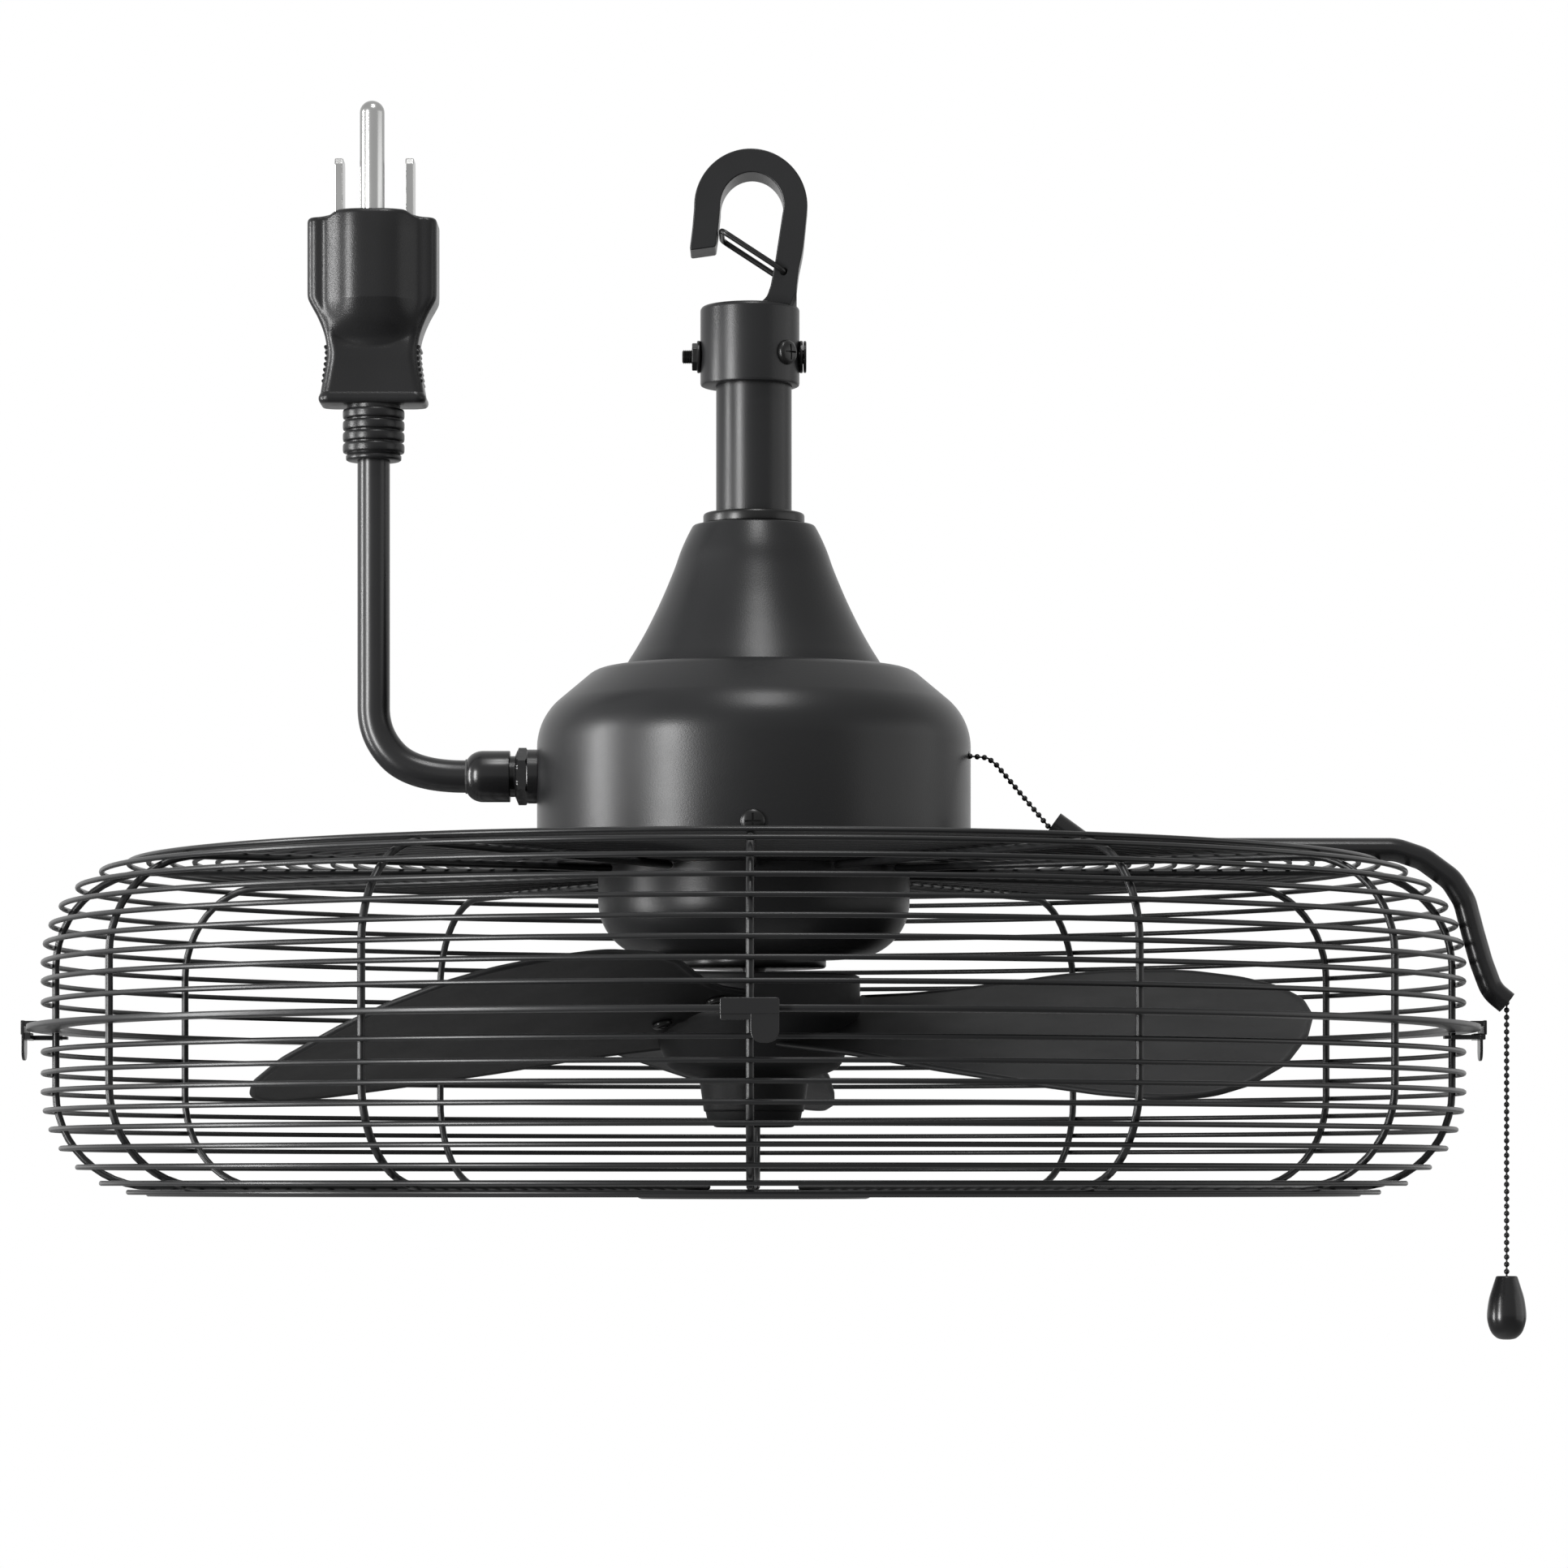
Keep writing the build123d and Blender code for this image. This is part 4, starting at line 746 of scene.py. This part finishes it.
def make_bell():
    """A cup of even wall with a large round at its lower edge."""
    round_r, wall, centre_r, centre_z = 20.0, 1.8, 35.0, -244.0
    outside = arc(centre_r, centre_z, round_r, 0, -90, 20)
    inside = arc(centre_r, centre_z, round_r - wall, -90, 0, 16)
    bell = [(53.2, -232.6), (55.0, -232.6)] + outside + [(9.2, -264.0), (9.2, -262.2)] + inside
    turned_piece("lower_bell_shell", bell, 128, POWDER, "lower_bell")


def make_end_flange():
    flange = [(4.6, -267.6), (24.9, -267.6), (25.5, -267.0), (25.5, -264.3), (25.2, -264.02), (4.6, -264.02)]
    turned_piece("end_flange", flange, 96, DARK, "end_plate", 50)


for make in (make_hook, make_collar, make_gate, make_bolt, make_washers, make_nut, make_set_screw, make_rod,
             make_trim_ring, make_cone, make_housing, make_housing_screws, make_carrier_plate, make_bell,
             make_end_flange):
    make()


# rotor: hub, spinner, three blades and their screws
SPINNER_TOP_Z = -306.55
BLADE_Z = -285.2
BLADE_PITCH = 18.1
FIRST_BLADE = -7.1
# blade outline: place along the blade, place across it and rounding of each corner
OUTLINE = [(34.9, 26, 1), (52, 28.5, 3), (66, 33, 20), (90, 44.5, 30), (106, 52.5, 30), (123, 57, 30),
           (150, 57, 30), (170, 48, 30), (184, 36, 30), (193, 20, 30), (197, 0, 30), (196, -24, 30),
           (190, -56, 30), (179, -80, 22), (166, -94, 22), (150, -97, 30), (128, -91, 40), (103, -79.5, 40),
           (71, -63, 40), (40, -44.5, 40), (16, -35, 20), (8, -31, 1), (10, -26, 1), (34.9, -4, 1)]
# blade edge: inset from the outline and height over the middle of the plate
EDGE = ((0.0, 0.0), (0.12, 0.45), (0.45, 0.85), (0.9, 1.0), (1.5, 0.98), (2.0, 0.78), (2.4, 0.62), (3.4, 0.6))


def make_hub():
    hub = [(4.2, -306.5), (19.8, -306.5), (20.3, -306.3), (26.6, -304.4), (28.0, -303.8), (29.6, -302.9),
           (30.9, -301.4), (31.7, -299.6), (34.2, -293.1), (36.9, -286.0), (37.4, -284.7), (37.5, -283.6),
           (37.5, -271.4), (37.2, -270.6), (36.4, -270.25), (4.2, -270.25)]
    turned_piece("hub_casting", hub, 128, BLADE, "hub", 40, body="rotor")


def make_spinner():
    cap = [(0, -323.8), (13.2, -323.8), (13.9, -323.6), (14.3, -323.2), (14.6, -322.2), (15.4, -321.95),
           (16.2, -321.6), (16.5, -321.0), (17.0, -318.7), (17.1, -318.35), (17.5, -318.2), (17.7, -317.9),
           (17.8, -317.3), (18.7, -311.0), (19.1, -308.4), (19.2, -307.6), (19.2, -306.9), (19.0, -306.6),
           (18.6, SPINNER_TOP_Z), (0, SPINNER_TOP_Z)]
    turned_piece("spinner_cap", cap, 96, BLADE, "spinner", 38, body="rotor", closed=False)


def blade_frame(index):
    place = Matrix.Translation((FAN_X, 0, BLADE_Z))
    return place @ turned(FIRST_BLADE - index * 120) @ turned(BLADE_PITCH, "X")


def offset_line(line, distance):
    """The closed line moved inwards in its plane."""
    count = len(line)
    moved = []
    for k, point in enumerate(line):
        ahead = (line[(k + 1) % count] - point).normalized()
        back = (point - line[k - 1]).normalized()
        way = (ahead + back).normalized()
        moved.append(point + Vector((way.y, -way.x, 0)) * distance)
    return moved


def blade_form():
    """A plate 1.2 mm thick with a rounded rim 2 mm thick; its root runs inside the hub."""
    corners = [corner for u, w, corner in OUTLINE]
    line = rounded([(u, w, 0) for u, w, corner in OUTLINE], corners, 8, closed=True)
    line = [p for k, p in enumerate(line) if (p - line[k - 1]).length > 0.05]
    levels = list(reversed(EDGE)) + [(inset, -height) for inset, height in EDGE[1:]]
    return skin([[(p.x, p.y, height) for p in offset_line(line, inset)] for inset, height in levels])


def make_blades():
    for index, letter in enumerate("abc"):
        blade = Shape().add(blade_form(), blade_frame(index))
        piece("fan_blade_" + letter, blade, "rotor", BLADE, ("blade_" + letter,), sharp=70)


def make_blade_screws():
    """Two heads under the root of each blade."""
    spots = []
    for index in range(3):
        for across in (19, -6):
            spots.append(blade_frame(index) @ Matrix.Translation((45.5, across, -0.9)) @ turned(180, "X"))
    dress(screw_object("blade_screw_heads", spots, 3.6, 2.0, 2.4, 0.3, 1.3), "rotor", DARK,
          ("blade_screws",))


make_hub()
make_spinner()
make_blades()
make_blade_screws()

# wire guard: heights are measured from the plane between its halves
GUARD = Matrix.Translation((FAN_X, 0, -289.3))
WIRE_R = 0.93
RIB_R = 1.3
SIDE_R = 249.07
CORNER_R = 213.0
CORNER_V = 21.9
RING_BEND = 36.1
RIB_BEND = 33.57
GRILLE_V = 58.0
GRILLE_R = 212.6
GRILLE_PITCH = 8.03
RIB_COUNT = 12
SIDE_HEIGHTS = [8.6] + [16.0 + 6.54 * k for k in range(6)] + [54.3, 57.4]
# side, name, number of flat rings and radius at which the ribs end
HALVES = ((1, "upper", 17, 57.0), (-1, "lower", 22, 33.0))


def side_radius(v):
    """The rings near the rim share one radius; the others follow the rounded corner."""
    if abs(v) <= CORNER_V:
        return SIDE_R
    return CORNER_R + math.sqrt(RING_BEND ** 2 - (abs(v) - CORNER_V) ** 2)


def make_side_wires(side, half_name):
    rings = Shape()
    for v in SIDE_HEIGHTS:
        rings.add(wire_ring(side_radius(v), side * v, WIRE_R, 160), GUARD)
    piece(half_name + "_side_wires", rings, ROOT, WIRE, (half_name + "_side_rings",), sharp=80)


def make_flat_wires(side, half_name, count):
    rings = Shape()
    for k in range(count):
        radius = GRILLE_R - GRILLE_PITCH * k
        rings.add(wire_ring(radius, side * GRILLE_V, WIRE_R, max(48, int(radius * 0.75))), GUARD)
    piece(half_name + "_flat_wires", rings, ROOT, WIRE, (half_name + "_grille_rings",),
          sharp=80)


def make_ribs(side, half_name, end_r):
    """Each rib runs from the rim over the rounded corner and inwards to a tapered end."""
    corner = [(r, 0, side * v) for r, v in arc(CORNER_R, CORNER_V, RIB_BEND, 0, 90, 12)]
    end_v = side * (CORNER_V + RIB_BEND)
    line = [(CORNER_R + RIB_BEND, 0, side * 1.1)] + corner + [(end_r + 0.6, 0, end_v), (end_r, 0, end_v)]
    radii = [RIB_R] * (len(line) - 1) + [RIB_R * 0.6]
    ribs = Shape()
    for k in range(RIB_COUNT):
        ribs.add(sweep(line, radii, 12), GUARD @ turned(360 / RIB_COUNT * k))
    piece(half_name + "_ribs", ribs, ROOT, WIRE, (half_name + "_guard_ribs",), sharp=60)


def make_band(side, half_name):
    """One of the two flat rings that meet at the rim."""
    inner, outer, far = 243.3, 255.0, 0.98 * side
    band = [(inner, 0), (outer, 0), (outer, far * 0.88), (outer - 0.2, far), (inner, far),
            (inner - 0.1, far / 2)]
    turned_piece(half_name + "_band", band, 180, WIRE, half_name + "_guard_band", 70,
                 place=GUARD)


def make_centre_plate():
    disc = [(0, -59.8), (39.6, -59.8), (40.7, -59.5), (41.2, -58.9), (41.3, -58.2), (41.2, -57.5),
            (40.6, -56.95), (39.6, -56.8), (0, -56.8)]
    turned_piece("centre_plate", disc, 96, POWDER, "guard_centre_disc", 50, closed=False,
                 place=GUARD)


for side, half_name, flat_count, rib_end in HALVES:
    make_side_wires(side, half_name)
    make_flat_wires(side, half_name, flat_count)
    make_ribs(side, half_name, rib_end)
    make_band(side, half_name)
make_centre_plate()

# clip, seen from outside: a plate over the rim, a round tab on the right, an arm under the rim on the left
CLIP_FACE_R = 256.7
CLIP_SIDES = (("clip_right", 0), ("clip_back", 90), ("clip_left", 180), ("clip_front", -90))


def clip_form():
    plate = rounded(in_plane([(-9.2, -2.0), (-9.2, 3.1), (9.2, 3.1), (9.2, -2.0)]), [0.3, 0.9, 0.9, 0.3], 8,
                    closed=True)
    tab = rounded(in_plane([(9.15, -1.2), (9.15, -11.0), (0.25, -11.0), (0.25, -1.2)]), [0, 4.3, 4.3, 0], 8,
                  closed=True)
    form = Shape()
    form.add(prism(pairs_of(plate), CLIP_FACE_R, 1.15), FACING)
    form.add(prism(pairs_of(tab), CLIP_FACE_R - 0.1, 1.0), FACING)
    upper_lip = box((252.0, -9.0, 1.3), (257.2, 9.0, 2.9))
    outer_lip = box((255.4, -9.1, -3.7), (257.4, 0.6, -1.9))
    arm = box((245.2, -9.0, -3.6), (256.2, -1.9, -2.0))
    stub = box((243.0, -7.6, -3.4), (245.6, -3.5, -2.3))
    tab_root = box((254.4, 0.4, -3.6), (257.2, 8.8, -1.3))
    for part in (upper_lip, outer_lip, arm, stub, tab_root):
        form.add(part)
    return form.verts, form.faces


for clip_name, azimuth in CLIP_SIDES:
    piece(clip_name + "_moulded", Shape().add(clip_form(), GUARD @ turned(azimuth)), clip_name + "_piece",
          SMOOTH, (clip_name,), bevel=0.4)

# cable gland: heights are measured outwards from the housing's side
GLAND = along((FAN_X - HOUSING_R, 0, GLAND_Z), (-1, 0, 0))


def make_gland_flange():
    bore, seat_r = 4.9, 5.9
    flange = [(seat_r, -5.5), (seat_r, -0.6), (9.3, -0.6), (9.54, -0.35), (9.54, 3.2), (9.3, 3.45),
              (bore, 3.45), (bore, -5.5)]
    neck = [(bore, 7.5), (7.24, 7.5), (7.24, 9.5), (bore, 9.5)]
    gland = Shape().add(revolve(flange, 72, True), GLAND).add(revolve(neck, 64, True), GLAND)
    piece("gland_flange", gland, ROOT, SMOOTH, ("gland_body",), sharp=40)


def make_gland_hex():
    """A hexagon whose corners are cut by the cones of its chamfers."""
    flat_r, steps = 8.79, 120
    turns = [2 * math.pi * k / steps for k in range(steps)]
    rows = []
    for height, most in ((3.5, 9.6), (3.85, 10.15), (6.5, 10.15), (7.05, 8.9), (7.6, 7.7)):
        radii = [min(flat_r / math.cos(turn % (math.pi / 3) - math.pi / 6), most) for turn in turns]
        rows.append([(r * math.cos(turn), r * math.sin(turn), height) for r, turn in zip(radii, turns)])
    hexagon = Shape().add(skin(rows), GLAND)
    piece("gland_hex", hexagon, ROOT, SMOOTH, ("gland_body",), sharp=14)


def make_gland_dome():
    bore, base, shoulder, mouth = 5.8, 9.5, 19.0, 25.2
    dome = [(6.0, base), (8.85, base), (9.0, 9.6), (9.07, 9.8), (9.07, shoulder)]
    dome += [(r, shoulder + (h - shoulder) * 1.2) for r, h in arc(3.9, shoulder, 5.17, 0, 78, 10)[1:]]
    dome += [(bore, mouth), (bore, base)]
    turned_piece("gland_dome", dome, 72, SMOOTH, "gland_cap", 45, place=GLAND)


# guide tube over the guard, ball chain and its pull, all in one plane in front of the axis
PULL_X = 265.8
# x, z and rounding of each bend of the tube
TUBE = [(106.8, -216.9, 0), (119.8, -226.37, 12), (226.8, -226.37, 16), (236.4, -229.6, 14),
        (246.4, -237.0, 12), (251.0, -244.4, 14), (253.9, -255.5, 30), (256.9, -266.0, 30),
        (260.6, -275.9, 12), (265.9, -280.2, 0)]
BEAD_R = 1.0
BEAD_PITCH = 2.55


def make_guide_tube():
    line = rounded([(x, CHAIN_Y, z) for x, z, bend in TUBE], [bend for x, z, bend in TUBE], 8)
    guide = Shape().add(tube(line, 4.1, 3.3, 28))
    piece("chain_guide", guide, ROOT, SMOOTH, ("guide_tube",), sharp=60)


def bead_run(points):
    """Beads along a line, joined by thin links."""
    points = [Vector(p) for p in points]
    centres = []
    travelled = wanted = 0.0
    for a, b in zip(points, points[1:]):
        length = (b - a).length
        while wanted <= travelled + length + 1e-9:
            centres.append(a + (b - a) * ((wanted - travelled) / length))
            wanted += BEAD_PITCH
        travelled += length
    turns = [math.radians(t) for t in range(-67, 68, 22)]
    ball = [(0, -BEAD_R)] + [(BEAD_R * math.cos(t), BEAD_R * math.sin(t)) for t in turns] + [(0, BEAD_R)]
    run = Shape()
    for centre in centres:
        run.add(revolve(ball, 14), Matrix.Translation(centre))
    return run.add(sweep(points, BEAD_R * 0.32, 6))


def make_chains():
    """The upper run hangs from the housing to the tube, the lower one from the tube to the pull."""
    hang = ((74.8, -193.4), (80.0, -193.8), (83.6, -194.2), (86.6, -196.6), (104.8, -218.2))
    upper = rounded([(x, CHAIN_Y, z) for x, z in hang], 3, 4)
    piece("chain_upper", bead_run(upper), ROOT, DARK, ("upper_chain",), sharp=80)
    lower = [(PULL_X, CHAIN_Y, -280.2), (PULL_X, CHAIN_Y, -376.3)]
    piece("chain_lower", bead_run(lower), "pull_chain", DARK, ("lower_chain",), sharp=80)


def make_drop():
    """The drop-shaped pull at the end of the chain."""
    side = smooth_line(in_plane([(3.87, -376.6), (4.9, -379.8), (6.2, -384.2), (6.9, -389.4), (6.6, -392.6),
                                 (5.4, -395.9), (3.4, -397.9), (1.4, -398.45)]), 6)
    drop = [(0, -376.1), (3.3, -376.1), (3.7, -376.3)] + pairs_of(side) + [(0, -398.5)]
    turned_piece("pull_drop", drop, 64, SMOOTH, "fob", 60, body="pull_chain", closed=False,
                 place=Matrix.Translation((PULL_X, CHAIN_Y, 0)))


for make in (make_gland_flange, make_gland_hex, make_gland_dome, make_guide_tube, make_chains, make_drop):
    make()


# world: plain white where it is seen, mirrored or looked through, dimmer as a light
WORLD_DIM = 0.4
WORLD_SEEN = 1.0


def make_world():
    world = bpy.data.worlds.new("studio")
    bpy.context.scene.world = world
    world.use_nodes = True
    nodes, links = world.node_tree.nodes, world.node_tree.links
    background = nodes["Background"]
    background.inputs["Color"].default_value = (1, 1, 1, 1)
    path = nodes.new("ShaderNodeLightPath")
    seen_or_mirrored = nodes.new("ShaderNodeMath")
    seen_or_mirrored.operation = "MAXIMUM"
    links.new(path.outputs["Is Camera Ray"], seen_or_mirrored.inputs[0])
    links.new(path.outputs["Is Glossy Ray"], seen_or_mirrored.inputs[1])
    seen_any_way = nodes.new("ShaderNodeMath")
    seen_any_way.operation = "MAXIMUM"
    links.new(seen_or_mirrored.outputs[0], seen_any_way.inputs[0])
    links.new(path.outputs["Is Transmission Ray"], seen_any_way.inputs[1])
    level = nodes.new("ShaderNodeMapRange")
    level.inputs["To Min"].default_value = WORLD_DIM
    level.inputs["To Max"].default_value = WORLD_SEEN
    links.new(seen_any_way.outputs[0], level.inputs["Value"])
    links.new(level.outputs["Result"], background.inputs["Strength"])


# studio lights in metres and watts: name, place, aim, width, height and power
LIGHTS = (("left_strip", (-1.3, -1.3, -0.225), (0, 0, -0.225), 0.35, 1.35, 94),
          ("left_far", (-1.8, -0.1, -0.225), (0, 0, -0.225), 0.25, 1.35, 60),
          ("right_wide", (1.9, -0.25, -0.15), (0, 0, -0.2), 2.0, 1.4, 15),
          ("front_top", (0.15, -1.0, 1.55), (0, 0, -0.2), 0.5, 0.25, 17),
          ("top", (0.12, -0.55, 1.75), (0, 0, -0.2), 0.45, 0.25, 14))


def soft_light(name, place, aim, width, height, power):
    data = bpy.data.lights.new(name, "AREA")
    data.shape = "RECTANGLE"
    data.size = width
    data.size_y = height
    data.energy = power
    light = bpy.data.objects.new(name, data)
    bpy.context.collection.objects.link(light)
    light.location = place
    way = Vector(aim) - Vector(place)
    light.rotation_euler = way.to_track_quat("-Z", "Y").to_euler()


# floor in metres: its far edge lies just below what the camera sees
FLOOR_Z = -2.6
FLOOR_BACK = 30
FLOOR_REACH = 150


def make_floor():
    corners = [(-FLOOR_REACH, -FLOOR_REACH, FLOOR_Z), (FLOOR_REACH, -FLOOR_REACH, FLOOR_Z),
               (FLOOR_REACH, FLOOR_BACK, FLOOR_Z), (-FLOOR_REACH, FLOOR_BACK, FLOOR_Z)]
    data = bpy.data.meshes.new("floor")
    data.from_pydata(corners, [], [[0, 1, 2, 3]])
    floor = bpy.data.objects.new("floor", data)
    bpy.context.collection.objects.link(floor)
    data.materials.append(coat("pale_floor", grey(0.85), 0.8, grain=40.0, depth=0.1, spread=0.01))
    return floor


make_world()
for light in LIGHTS:
    soft_light(*light)
floor_obj = make_floor()
